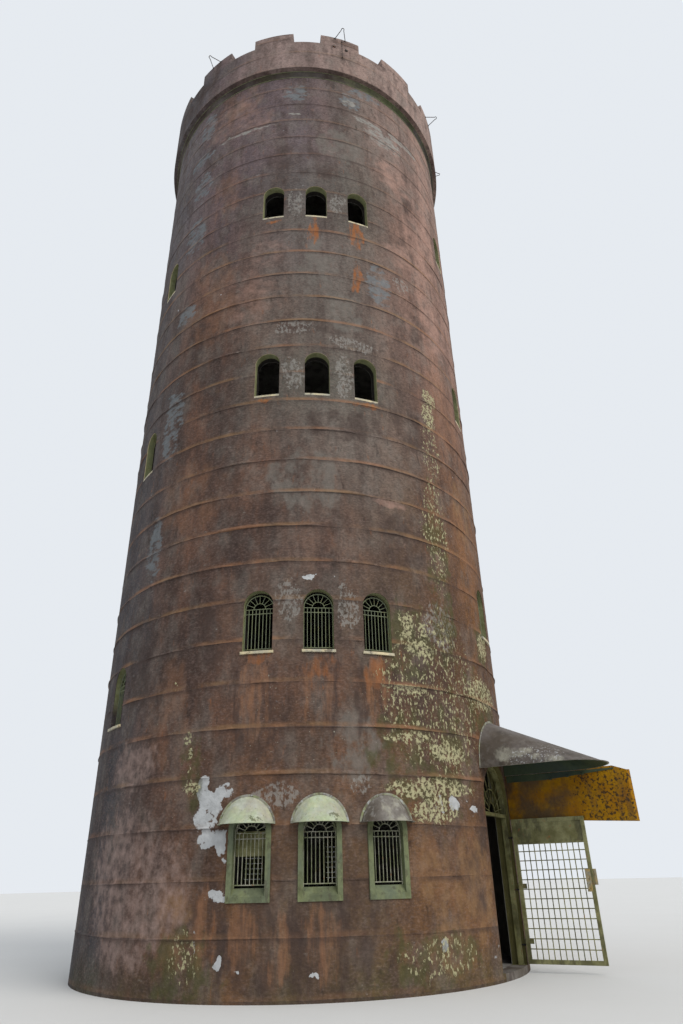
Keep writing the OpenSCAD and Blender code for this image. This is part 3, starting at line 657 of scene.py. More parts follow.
SCREEN = Finish("amber_sheet", Tone.AMBER, Tone.HONEY, grain=3.5, roughness=0.5, relief=0.001,
                gloss=0.1, growths=(
    # Painted shade of the tower on the screen's part near the wall.
    patches(Tone.BARK, 0.8, 3.0, ((67, 2.3, 0.8, 0.8, 4.1),), 0.66, soft=0.3),
    patches(Tone.SOOT, 0.85, 22.0, ((66, 2.4, 1.0, 0.8, 5.6),), 0.40, soft=0.09),
    grime(0.5, Tone.BARK, 24.0, 1.0, 0.25, 0.12), grime(0.5, Tone.UMBER, 6.0, 4.0, 0.36, 0.25)))
GATE = Finish("olive_paint", Tone.DRAB, Tone.OLIVE, grain=5.0, roughness=0.5, relief=0.0006,
              gloss=0.3, growths=(
    grime(0.7, Tone.RUST, 16.0, 1.0, 0.14), grime(0.4, Tone.SOOT, 5.0, 3.0)))
PALE_BARS = Finish("pale_bars", Tone.BONE, Tone.SAGE, grain=8.0, roughness=0.55, relief=0.0006, growths=(
    grime(0.6, Tone.RUST, 20.0, 1.0, 0.14),))
DARK_BARS = Finish("dark_bars", Tone.BAR_GREEN, Tone.SAGE, grain=9.0, roughness=0.55, relief=0.0006, growths=(
    grime(0.5, Tone.RUST, 18.0, 1.0, 0.1),))
IRON = Finish("old_iron", Tone.IRON, Tone.SOOT, grain=9.0, roughness=0.6, metallic=0.5,
              relief=0.0006, growths=(
    grime(0.6, Tone.RUST, 25.0, 1.0, 0.3),))
BRASS = Finish("dull_brass", Tone.BRASS, Tone.BONE, grain=14.0, roughness=0.36, metallic=0.9, relief=0.0003,
               growths=(grime(0.5, Tone.SOOT, 30.0, 1.0, 0.3),))
BOARD = Finish("olive_board", Tone.OLIVE, Tone.DRAB, grain=5.0, roughness=0.7)

# The finish of each CAD node, by the first part of its name.
NODE_FINISHES = {
    "wall": WALL, "parapet": WALL, "merlons": WALL, "ground": CAST, "floor": CAST, "deck": CAST,
    "door_step": STEP, "cornice": COVE, "window_surrounds": TRIM, "sills": SILL, "side_screen": SCREEN,
    "door_frame": GATE, "transom_grille": GATE, "gate_leaf": GATE, "gate_sheet": GATE, "gate_lock": BRASS,
    "gate_pintles": IRON, "rod_hoops": IRON, "entrance_hood": HOOD_TOP, "window_hoods": MINT_SHEET,
}




def turned(bearing: float, z: float = 0.0) -> Matrix:
    """Returns the place of something made at the front, turned to a bearing and raised by z."""
    return Matrix.Rotation(math.radians(bearing), 4, "Z") @ Matrix.Translation((0.0, 0.0, z))


def aimed(at: Vector, along: Vector) -> Matrix:
    """Returns the place at a point that has +Z along a direction."""
    return Matrix.Translation(at) @ along.to_track_quat("Z", "Y").to_matrix().to_4x4()


def edges_of(made: dict[str, list]) -> list[BMEdge]:
    """Returns the edges of what an operator made, each once and in their order."""
    return list(dict.fromkeys(edge for vert in made["verts"] for edge in vert.link_edges))


def bar(bm: BMesh, start: Iterable[float], end: Iterable[float], diameter: float, place: Matrix,
        sides: int = 8) -> None:
    """Adds a straight round bar between two points.

    Args:
        bm: The mesh to add to.
        start: Middle of one end.
        end: Middle of the other.
        diameter: Its diameter.
        place: Where it stands.
        sides: Faces round it.
    """
    a, b = Vector(start), Vector(end)
    bmesh.ops.create_cone(bm, cap_ends=True, segments=sides, radius1=diameter / 2, radius2=diameter / 2,
                          depth=(b - a).length, matrix=place @ aimed((a + b) / 2, b - a))


def block(bm: BMesh, low: Iterable[float], high: Iterable[float], place: Matrix, bevel: float = 0.0) -> None:
    """Adds a box between two corners, with its edges rounded by bevel.

    Args:
        bm: The mesh to add to.
        low: Its lowest corner.
        high: Its highest corner.
        place: Where it stands.
        bevel: How far its edges are rounded.
    """
    a, b = Vector(low), Vector(high)
    size = Matrix.Diagonal((*(b - a), 1.0))
    made = bmesh.ops.create_cube(bm, size=1.0, matrix=place @ Matrix.Translation((a + b) / 2) @ size)
    if bevel:
        bmesh.ops.bevel(bm, geom=edges_of(made), offset=bevel, offset_type="OFFSET", segments=2,
                        profile=0.5, affect="EDGES", material=-1)


def tube(bm: BMesh, path: list[Vector], diameter: float, place: Matrix, sides: int = 10) -> None:
    """Adds a round rod that follows a path.

    Args:
        bm: The mesh to add to.
        path: Points on its middle line.
        diameter: Its diameter.
        place: Where it stands.
        sides: Faces round it.
    """
    rings = []
    for i, point in enumerate(path):
        ahead = path[min(i + 1, len(path) - 1)] - path[max(i - 1, 0)]
        made = bmesh.ops.create_circle(bm, cap_ends=i in (0, len(path) - 1), segments=sides,
                                       radius=diameter / 2, matrix=place @ aimed(point, ahead))
        rings.append(edges_of(made))
    for near, far in zip(rings, rings[1:]):
        bmesh.ops.bridge_loops(bm, edges=near + far)


def skin(bm: BMesh, across: int, along: int, shape: Callable[[float, float], Vector],
         place: Matrix) -> list[BMFace]:
    """Adds a grid that is bent to a shape.

    Args:
        bm: The mesh to add to.
        across: Steps of the shape's first value.
        along: Steps of its second value.
        shape: Gives the point for two values from 0 to 1.
        place: Where the shape stands.

    Returns:
        The grid's faces.
    """
    made = bmesh.ops.create_grid(bm, x_segments=across, y_segments=along, size=0.5)
    for vert in made["verts"]:
        vert.co = place @ shape(vert.co.x + 0.5, vert.co.y + 0.5)
    bm.normal_update()
    return list(dict.fromkeys(face for vert in made["verts"] for face in vert.link_faces))


def thicken(bm: BMesh, faces: list[BMFace], thickness: float, index: int) -> None:
    """Gives a skin its thickness and a finish.

    Args:
        bm: The mesh that it is in.
        faces: The skin's faces.
        thickness: Its thickness.
        index: Number of the finish for all its faces.
    """
    made = bmesh.ops.solidify(bm, geom=faces, thickness=thickness)["geom"]
    for face in [*faces, *(part for part in made if isinstance(part, BMFace))]:
        face.material_index = index


def arc(radius: float, start: float, end: float, steps: int, centre: Iterable[float]) -> list[Vector]:
    """Returns points on an arc in the upright plane of the wall, by angles in degrees from +X.

    Args:
        radius: Its radius.
        start: Angle of its first point.
        end: Angle of its last point.
        steps: Number of its straight runs.
        centre: Its centre.

    Returns:
        The points.
    """
    turns = [math.radians(start + (end - start) * i / steps) for i in range(steps + 1)]
    return [Vector(centre) + Vector((radius * math.cos(a), 0.0, radius * math.sin(a))) for a in turns]


@dataclass
class Piece:
    """One piece that is added to the frame.

    Attributes:
        name: Its name.
        slot: The material slot that its finish belongs to. Not used.
        finishes: Its finishes. A face's material index picks one.
        body: The CAD body that it moves with.
        stands_for: The CAD nodes that it is shown instead of.
        smooth: Widest angle between faces, in degrees, across which it is shaded smooth.
    """

    name: str
    slot: str
    finishes: tuple[Finish, ...]
    body: str = "root"
    stands_for: tuple[str, ...] = ()
    smooth: float = 38.0

    def shape(self, bm: BMesh) -> None:
        """Adds the piece's faces to a mesh."""
        raise NotImplementedError

    def build(self, paint: Paint) -> None:
        """Makes the piece's object, which rides on its body.

        Args:
            paint: Makes its materials.
        """
        bm = bmesh.new()
        self.shape(bm)
        bmesh.ops.recalc_face_normals(bm, faces=bm.faces[:])
        mesh = bpy.data.meshes.new(self.name)
        bm.to_mesh(mesh)
        bm.free()
        mesh.polygons.foreach_set("use_smooth", [True] * len(mesh.polygons))
        mesh.set_sharp_from_angle(angle=math.radians(self.smooth))
        for finish in self.finishes:
            mesh.materials.append(paint.material(finish))
        made = bpy.data.objects.new(self.name, mesh)
        bpy.context.scene.collection.objects.link(made)
        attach(made, self.body)
        if self.stands_for:
            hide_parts(*self.stands_for)
        LOG.info("%s: %d faces", self.name, len(mesh.polygons))


@dataclass
class PourJoints(Piece):
    """Uneven ridges on the round wall where one pour of concrete ends and the next begins.

    Attributes:
        first: Height of a joint. The others are whole pitches from it.
        pitch: Height of one pour.
        numbers: Number of the lowest joint, and of the one over the highest.
        steps: Faces round the wall.
        rows: Faces across a ridge. The last one closes its back.
        sunk: Depth of that back in the wall.
        panels: Panels round the wall, whose ridges tilt against each other.
        holes: Bearing, half angle, foot and head of each opening.
    """

    first: float = 1.98
    pitch: float = 0.6474
    numbers: tuple[int, int] = (-2, 27)
    steps: int = 400
    rows: int = 6
    sunk: float = 0.003
    panels: int = 36
    holes: Rows = ()

    def shape(self, bm: BMesh) -> None:
        """Adds every ridge, and closes the seams and the cut ends.

        Args:
            bm: The mesh to add to.
        """
        for number in range(*self.numbers):
            self.ridge(bm, self.first + number * self.pitch, number)
        bmesh.ops.remove_doubles(bm, verts=bm.verts[:], dist=1e-5)
        bmesh.ops.holes_fill(bm, edges=[edge for edge in bm.edges if edge.is_boundary], sides=0)

    def ridge(self, bm: BMesh, z: float, seed: int) -> None:
        """Adds the ridge at one height and cuts it at the openings.

        Args:
            bm: The mesh to add to.
            z: Its height.
            seed: A number that makes it unlike the others.
        """
        # The ridges are boldest from the low windows up to the second upper row.
        bold = 0.4 if z < 2.3 else 1.0 if z < 12.0 else 0.6 if z < 15.0 else 0.25

        def point(u: float, v: float) -> Vector:
            """Returns a point on the ridge, by its shares of the way round and across."""
            b = 2 * math.pi * u
            swell = 0.2 + math.sin(b * 3 + seed * 2.1) * math.sin(b * 5 + seed * 1.3)
            swell += 0.35 * math.sin(b * 19 + seed * 3.7) + 0.2 * math.sin(b * 47 + seed)
            swell = min(1.0, max(0.0, swell)) * bold
            panel, along = divmod(u * self.panels + seed * 0.37, 1.0)
            tilt = math.sin(panel % self.panels * 7.3 + seed) * (along - 0.4)
            foot = z - 0.015 + 0.010 * (math.sin(b * 5 + seed * 2.3) + tilt)
            # The last row of points comes back to the first and closes the ridge's back.
            v = 0.0 if v > 0.99 else min(1.0, v * self.rows / (self.rows - 1))
            out = WALL_R - self.sunk + (0.005 + 0.018 * swell) * math.sin(math.pi * v**0.6) ** 0.8
            return Vector((out * math.sin(b), -out * math.cos(b), foot + v * (0.02 + 0.055 * swell)))

        def cut(face: BMFace) -> bool:
            """Returns whether a face lies in an opening, tested at the middle of the ridge."""
            middle = face.calc_center_median()
            return self.in_hole(point(math.atan2(middle.x, -middle.y) / (2 * math.pi) % 1.0, 0.4))

        faces = skin(bm, self.steps, self.rows, point, Matrix())
        bmesh.ops.delete(bm, geom=[face for face in faces if cut(face)], context="FACES")

    def in_hole(self, point: Vector) -> bool:
        """Returns whether a point lies in an opening or under a hood."""
        bearing = math.degrees(math.atan2(point.x, -point.y)) % 360
        return any(foot < point.z < head and abs((bearing - middle + 180) % 360 - 180) < half
                   for middle, half, foot, head in self.holes)


@dataclass
class CoveBeads(Piece):
    """Pale beads along the foot and the lip of the cove.

    Attributes:
        rings: Radius and height of each bead's centre.
        size: Diameter of a bead.
        steps: Faces round the tower.
    """

    rings: Rows = ((3.751, 19.286), (3.810, 19.433))
    size: float = 0.013
    steps: int = 240

    def shape(self, bm: BMesh) -> None:
        """Spins a small circle round the axis for each bead.

        Args:
            bm: The mesh to add to.
        """
        for radius, z in self.rings:
            upright = Matrix.Translation((radius, 0.0, z)) @ Matrix.Rotation(math.pi / 2, 4, "X")
            made = bmesh.ops.create_circle(bm, segments=8, radius=self.size / 2, matrix=upright)
            bmesh.ops.spin(bm, geom=edges_of(made), cent=(0, 0, 0), axis=(0, 0, 1),
                           angle=2 * math.pi, steps=self.steps, use_merge=True)


@dataclass
class Grilles(Piece):
    """Barred grilles with a fan in the arch, one in each window of a row.

    Attributes:
        places: Bearing and height of the foot of each grille.
        width: Width between the frame's outer sides.
        spring: Height of the arch's springing above the foot.
        radius: Distance of the bars from the axis.
        cross: Heights of the lower cross bars above the foot.
        petals: Whether curved bars join the spokes' ends.
        bars: Number of upright bars.
        spokes: Number of spokes in the fan.
        ring: Radius of the fan's inner ring, as a share of the arch's.
        petal: Distance of a curved bar's centre from the fan's centre, and its radius, as such shares.
        size: Diameter of a bar.
    """

    places: Rows = ()
    width: float = 0.45
    spring: float = 0.70
    radius: float = 3.67
    cross: tuple[float, ...] = (0.057, 0.624)
    petals: bool = False
    bars: int = 7
    spokes: int = 7
    ring: float = 0.42
    petal: tuple[float, float] = (0.78, 0.15)
    size: float = 0.012

    def shape(self, bm: BMesh) -> None:
        """Adds each grille."""
        for bearing, z in self.places:
            self.grille(bm, turned(bearing, z))

    def grille(self, bm: BMesh, place: Matrix) -> None:
        """Adds one grille.

        Args:
            bm: The mesh to add to.
            place: Where its foot stands.
        """
        half, y = self.width / 2 - self.size / 2, -self.radius
        hub = (0.0, y, self.spring)
        outline = [Vector((half, y, 0.0)), *arc(half, 0, 180, 20, hub), Vector((-half, y, 0.0))]
        tube(bm, outline, self.size * 1.5, place, 6)
        for i in range(1, self.bars + 1):
            x = -half + 2 * half * i / (self.bars + 1)
            bar(bm, (x, y, self.cross[0]), (x, y, self.spring), self.size, place)
        for z in (*self.cross, self.spring):
            bar(bm, (-half, y, z), (half, y, z), self.size * 1.2, place)
        step = 180 / (self.spokes + 1)
        ring = half * self.ring
        tube(bm, arc(ring, 0, 180, 14, hub), self.size, place, 6)
        for i in range(1, self.spokes + 1):
            inner, outer = (arc(r, i * step, i * step, 1, hub)[0] for r in (ring, half))
            bar(bm, inner, outer, self.size * 0.9, place)
        for i in range(self.spokes + 1 if self.petals else 0):
            middle = (i + 0.5) * step
            centre = arc(half * self.petal[0], middle, middle, 1, hub)[0]
            curve = arc(half * self.petal[1], middle - 100, middle + 100, 8, centre)
            tube(bm, curve, self.size * 0.7, place, 5)


@dataclass
class SheetHood(Piece):
    """Hood of bent sheet metal that stands out of the round wall, with a lip and a wall flange.

    The skin joins the arch on the wall to the rim along straight lines, as sheet metal bends.

    Attributes:
        bearing: Bearing of its middle.
        z: Height of its rim.
        half: Half of its width at the rim.
        height: Its height at the wall.
        proj: How far its lip stands out of the wall.
        straight: Length of the rim's straight sides.
        creases: Number of pressed folds in the skin.
        fold: Depth of those.
        lip: Width of the lip and of the flange.
        sheet: Thickness of the skin and the flange.
        lip_sheet: Thickness of the lip.
        sunk: Depth of the lines' inner ends in the wall.
        under: Number of the finish for the skin's underside.
        edge: Number of the finish for the lip and the flange.
    """

    bearing: float = 0.0
    z: float = LOW_HOOD_Z
    half: float = 0.37
    height: float = 0.35
    proj: float = 0.34
    straight: float = 0.0
    creases: int = 0
    fold: float = 0.006
    lip: float = 0.03
    sheet: float = 0.005
    lip_sheet: float = 0.007
    sunk: float = 0.12
    under: int = 1
    edge: int = 2

    def ruling(self, turn: float) -> tuple[Vector, Vector]:
        """Returns the ends of one of the skin's straight lines.

        Args:
            turn: Angle round the rim in radians, from 0 at the right side to pi at the left.

        Returns:
            The point on the rim, and the one in the plane behind the wall's face.
        """
        back, reach, length = WALL_R - self.sunk, self.proj + self.sunk - self.lip, self.straight + self.sunk
        bulge = reach - length
        rise = self.height * reach / (reach - self.sunk)
        rim = Vector((self.half * math.cos(turn), -back - length - bulge * math.sin(turn), 0.0))
        share = math.cos(turn) / (1 + length / bulge * math.sin(turn))
        return rim, Vector((self.half * share, -back, rise * math.sqrt(max(0.0, 1 - share * share))))

    def on_wall(self, turn: float) -> Vector:
        """Returns the point where the skin's line at an angle meets the wall.

        Args:
            turn: Angle round the rim in radians.

        Returns:
            The point.
        """
        rim, far = self.ruling(turn)
        low, high = 0.0, 1.0
        for _ in range(24):
            middle = (low + high) / 2
            point = rim.lerp(far, middle)
            low, high = (middle, high) if math.hypot(point.x, point.y) > WALL_R + 0.002 else (low, middle)
        return rim.lerp(far, low)

    def shape(self, bm: BMesh) -> None:
        """Adds the skin, its lip and its wall flange.

        Args:
            bm: The mesh to add to.
        """
        place = turned(self.bearing, self.z)

        def dome(u: float, v: float) -> Vector:
            """Returns a point on the skin, by its shares of the way round and in to the wall."""
            turn = math.pi * u
            point = self.ruling(turn)[0].lerp(self.on_wall(turn), v)
            fold = math.cos(self.creases * 2 * math.pi * u) * math.sin(math.pi * v) * self.fold
            fold = fold if self.creases else 0.0
            return point + Vector((fold * math.cos(turn), -fold * math.sin(turn), fold + 0.006))

        outer = skin(bm, 96, 12, dome, place)
        bmesh.ops.recalc_face_normals(bm, faces=outer)
        if sum(face.normal.z for face in outer) < 0:
            bmesh.ops.reverse_faces(bm, faces=outer)
        thicken(bm, outer, self.sheet, self.under)
        for face in outer:
            face.material_index = 0
        self.strip(bm, place)
        self.flange(bm, place)

    def rim_point(self, u: float, extra: float) -> Vector:
        """Returns a point on the rim or outside it, counted from the wall at its right to the left.

        Args:
            u: Share of the way round.
            extra: Distance outside the rim.

        Returns:
            The point.
        """
        side = math.hypot(self.straight, 0.02)
        total = 2 * side + math.pi * self.half
        run = u * total
        first, last = self.ruling(0.0)[0], self.ruling(math.pi)[0]
        if run < side or run > total - side:
            sign = 1 if run < side else -1
            end = first if sign > 0 else last
            share = min(run, total - run) / side
            y = -math.sqrt((WALL_R + 0.002) ** 2 - (self.half + extra) ** 2)
            return Vector((end.x + sign * extra, y + (end.y - y) * share, 0.0))
        turn = math.pi * (run - side) / (total - 2 * side)
        rim = self.ruling(turn)[0]
        return rim + Vector((extra * math.cos(turn), -extra * math.sin(turn), 0.0))

    def strip(self, bm: BMesh, place: Matrix) -> None:
        """Adds the flat lip round the rim.

        Args:
            bm: The mesh to add to.
            place: Where the hood stands.
        """
        def point(u: float, v: float) -> Vector:
            """Returns a point on the lip, by its shares of the way round and outwards."""
            return self.rim_point(u, v * self.lip - 0.001) + Vector((0, 0, 0.009))

        faces = skin(bm, 110, 1, point, place)
        bmesh.ops.recalc_face_normals(bm, faces=faces)
        thicken(bm, faces, self.lip_sheet, self.edge)

    def flange(self, bm: BMesh, place: Matrix) -> None:
        """Adds the strip on the wall round the arch.

        Args:
            bm: The mesh to add to.
            place: Where the hood stands.
        """
        def point(u: float, v: float) -> Vector:
            """Returns a point on the flange, by its shares of the way round and outwards."""
            edge = self.on_wall(math.pi * u)
            out = Vector((edge.x / self.half**2, edge.z / self.height**2)).normalized() * v * self.lip
            x, z = edge.x + out.x, edge.z + out.y + 0.004
            return Vector((x, -math.sqrt((WALL_R + 0.008) ** 2 - x * x), z))

        faces = skin(bm, 72, 1, point, place)
        bmesh.ops.recalc_face_normals(bm, faces=faces)
        thicken(bm, faces, self.sheet, self.edge)


@dataclass
class RodHoops(Piece):
    """Bent round rods that stand out of the merlons, with a plate and a bolt at each foot.

    Attributes:
        bearings: Bearing of each hoop.
        z: Height of the rods.
        reach: Distance of a hoop's tip from the axis.
        width: Distance between its feet.
        bend: Bend radius at the tip.
        size: Diameter of the rod.
    """

    bearings: tuple[float, ...] = ()
    z: float = 20.92
    reach: float = 4.22
    width: float = 0.28
    bend: float = 0.035
    size: float = 0.018

    def shape(self, bm: BMesh) -> None:
        """Adds each hoop."""
        for bearing in self.bearings:
            self.hoop(bm, turned(bearing, self.z))

    def hoop(self, bm: BMesh, place: Matrix) -> None:
        """Adds one hoop with its feet.

        Args:
            bm: The mesh to add to.
            place: Where it stands.
        """
        tip = self.reach - self.size / 2 - self.bend
        lean = math.atan((self.width / 2 - self.bend) / (tip - PARAPET_R))
        foot = self.bend + (tip - PARAPET_R + 0.001) * math.tan(lean)
        curve = [Vector((self.bend * math.cos(a), -tip - self.bend * math.sin(a), 0.0))
                 for a in (-lean + (math.pi + 2 * lean) * i / 14 for i in range(15))]
        path = [Vector((foot, -PARAPET_R - 0.001, 0.0)), *curve, Vector((-foot, -PARAPET_R - 0.001, 0.0))]
        tube(bm, path, self.size, place, 12)
        for sign in (-1, 1):
            x = sign * foot
            y = -math.sqrt(PARAPET_R**2 - x * x)
            block(bm, (x - 0.025, y - 0.007, -0.03), (x + 0.025, y + 0.004, 0.03), place, 0.002)
            for up in (-0.02, 0.02):
                bar(bm, (x, y - 0.012, up), (x, y, up), 0.011, place, 6)


@dataclass
class DownRod(Piece):
    """Thin rod that runs down a merlon and the parapet, with its clips.

    Attributes:
        bearing: Its bearing.
        top: Height of its top.
        foot: Height of its foot.
        boxes: Bearing of each box from the rod, and its height.
    """

    bearing: float = 13.5
    top: float = 20.93
    foot: float = 20.0
    boxes: Rows = ((-3.1, 20.5), (1.7, 20.46))

    def shape(self, bm: BMesh) -> None:
        """Adds the rod, its clips and two small boxes beside it.

        Args:
            bm: The mesh to add to.
        """
        place = turned(self.bearing)
        y = -PARAPET_R - 0.016
        bar(bm, (0, y, self.foot), (0, y, self.top), 0.012, place)
        for z in (self.foot + 0.1, self.top - 0.1):
            block(bm, (-0.02, y - 0.009, z - 0.012), (0.02, -PARAPET_R + 0.003, z + 0.012), place, 0.002)
        for offset, z in self.boxes:
            place = turned(self.bearing + offset)
            block(bm, (-0.035, -PARAPET_R - 0.03, z), (0.035, -PARAPET_R + 0.003, z + 0.07), place, 0.004)


@dataclass
class WindowBoards(Piece):
    """Boards fixed behind the grilles of some windows.

    Attributes:
        windows: Bearing of each window, and its boards' foot and top.
        half: Half of their width.
        spring: Height above which they are narrower.
        radius: Distance of their face from the axis.
        board_h: Height of one board.
    """

    windows: Rows = ()
    half: float = 0.222
    spring: float = 1.93
    radius: float = 3.615
    board_h: float = 0.103

    def shape(self, bm: BMesh) -> None:
        """Adds the boards one over another.

        Args:
            bm: The mesh to add to.
        """
        for bearing, low, high in self.windows:
            for i in range(round((high - low) / self.board_h)):
                z = low + i * self.board_h
                half = self.half * (1.0 if z < self.spring else 0.9)
                high_corner = (half, -self.radius + 0.015, z + self.board_h - 0.002)
                block(bm, (-half, -self.radius, z), high_corner, turned(bearing), 0.002)


@dataclass
class ScreenRail(Piece):
    """Tapered rail under the entrance hood's far rim, that the side screen hangs from.

    Attributes:
        near: Distance of its inner end from the axis.
        knee: Distance at which it begins to taper.
        far: Distance of its outer end.
        across: Distance of its face from the hood's middle.
        z: Height of its upper edge.
        depth: Its depth at the wall.
        end_depth: Its depth at the outer end.
        nuts: Places of the nuts as shares of its length.
    """

    near: float = 3.72
    knee: float = 4.4
    far: float = 5.5
    across: float = 0.659
    z: float = HOOD_Z - 0.003
    depth: float = 0.105
    end_depth: float = 0.02
    nuts: tuple[float, ...] = (0.42, 0.58, 0.72)

    def shape(self, bm: BMesh) -> None:
        """Adds the rail and the nuts along its lower edge.

        Args:
            bm: The mesh to add to.
        """
        place = turned(DOOR)

        def point(u: float, v: float) -> Vector:
            """Returns a point on the rail, by its shares of the way outwards and down."""
            out = self.near + (self.far - self.near) * u
            share = min(1.0, max(0.0, (self.far - out) / (self.far - self.knee)))
            depth = self.end_depth + (self.depth - self.end_depth) * share
            return Vector((self.across, -out, self.z - depth * v))

        thicken(bm, skin(bm, 24, 2, point, place), 0.010, 0)
        for share in self.nuts:
            foot = point(share, 1.0)
            low, high = foot + Vector((-0.025, -0.022, -0.012)), foot + Vector((-0.002, 0.022, 0.022))
            block(bm, low, high, place, 0.004)


@dataclass
class StrapRivets(Piece):
    """Rivets on the gate's hinge straps, made on the closed gate and swung open with it.

    Attributes:
        hinge: A point on the hinge's axis.
        open_angle: Angle at which the gate stands open.
        heights: Height of each strap's rivets.
        along: Places of the rivets along a strap.
        face: Place of the straps' outer face.
        size: Diameter of a rivet's head.
    """

    hinge: tuple[float, float, float] = (0.5945, -3.71164, 0.0)
    open_angle: float = 93.0
    heights: tuple[float, ...] = (0.4084, 1.1584, 1.9084)
    along: tuple[float, ...] = (0.475, 0.5, 0.525, 0.55)
    face: float = -3.7012
    size: float = 0.012

    def shape(self, bm: BMesh) -> None:
        """Adds a flattened dome for each rivet.

        Args:
            bm: The mesh to add to.
        """
        hinge = Matrix.Translation(self.hinge)
        swing = hinge @ Matrix.Rotation(math.radians(self.open_angle), 4, "Z") @ hinge.inverted()
        flat = Matrix.Diagonal((1.0, 1.0, 0.5, 1.0))
        for z in self.heights:
            for x in self.along:
                place = turned(DOOR) @ swing @ aimed(Vector((x, self.face, z)), Vector((0.0, -1.0, 0.0)))
                bmesh.ops.create_uvsphere(bm, u_segments=10, v_segments=6, radius=self.size / 2,
                                          matrix=place @ flat)


@dataclass
class Studio:
    """Floor, light and camera.

    Attributes:
        eye: The camera's place.
        pitch: How far it looks up, in degrees.
        yaw: How far it looks to the right.
        roll: How far it is turned about its line of sight.
        lens: Focal length in millimetres.
        sensor: Long side of the picture in millimetres.
        sky: Colour and strength of the sky's light.
        sun: Colour and strength of the lamp.
        sun_angle: How broad the lamp is, in degrees.
        sun_from: Direction that its light comes from.
        floor_r: Radius of the floor.
        greys: Colours that the floor varies between.
    """

    eye: tuple[float, float, float] = (0.0, -13.8658, 1.35)
    pitch: float = 28.114
    yaw: float = 3.447
    roll: float = -1.394
    lens: float = 24.012
    sensor: float = 36.0
    sky: tuple[tuple[float, ...], float] = ((0.86, 0.90, 0.95), 0.92)
    sun: tuple[tuple[float, ...], float] = ((1.0, 0.96, 0.9), 2.0)
    sun_angle: float = 40.0
    sun_from: tuple[float, float, float] = (0.55, -0.62, 0.75)
    floor_r: float = 140.0
    greys: Rows = ((0.56, 0.56, 0.55), (0.6, 0.6, 0.59))

    def camera(self) -> None:
        """Adds the camera that sees the tower as the photo does."""
        place = Matrix.Translation(self.eye)
        for angle, axis in ((-self.yaw, "Z"), (90 + self.pitch, "X"), (self.roll, "Z")):
            place @= Matrix.Rotation(math.radians(angle), 4, axis)
        made = bpy.data.objects.new("camera", bpy.data.cameras.new("camera"))
        made.data.lens = self.lens
        made.data.sensor_width = self.sensor
        made.data.clip_end = 500.0
        made.matrix_world = place
        bpy.context.scene.collection.objects.link(made)
        bpy.context.scene.camera = made

    def light(self) -> None:
        """Adds soft light from the sky and one broad lamp."""
        world = bpy.data.worlds.new("sky")
        world.use_nodes = True
        sky = world.node_tree.nodes["Background"]
        sky.inputs["Color"].default_value = (*self.sky[0], 1.0)
        sky.inputs["Strength"].default_value = self.sky[1]
        bpy.context.scene.world = world
        lamp = bpy.data.objects.new("key", bpy.data.lights.new("key", "SUN"))
        lamp.data.color, lamp.data.energy = self.sun
        lamp.data.angle = math.radians(self.sun_angle)
        lamp.matrix_world = aimed(Vector(), Vector(self.sun_from))
        bpy.context.scene.collection.objects.link(lamp)

    def floor(self) -> None:
        """Adds the level floor."""
        bm = bmesh.new()
        bmesh.ops.create_circle(bm, cap_ends=True, segments=96, radius=self.floor_r)
        mesh = bpy.data.meshes.new("floor")
        bm.to_mesh(mesh)
        bm.free()
        shader = Shader("floor")
        shader.dress({"Base Color": shader.mix(shader.noise(0.4), *self.greys), "Roughness": 0.9})
        mesh.materials.append(shader.material)
        made = bpy.data.objects.new("floor", mesh)
        bpy.context.scene.collection.objects.link(made)

    def set_up(self) -> None:
        """Adds everything that isn't part of the tower."""
        self.floor()
        self.light()
        self.camera()
        bpy.context.scene.view_settings.view_transform = "Standard"


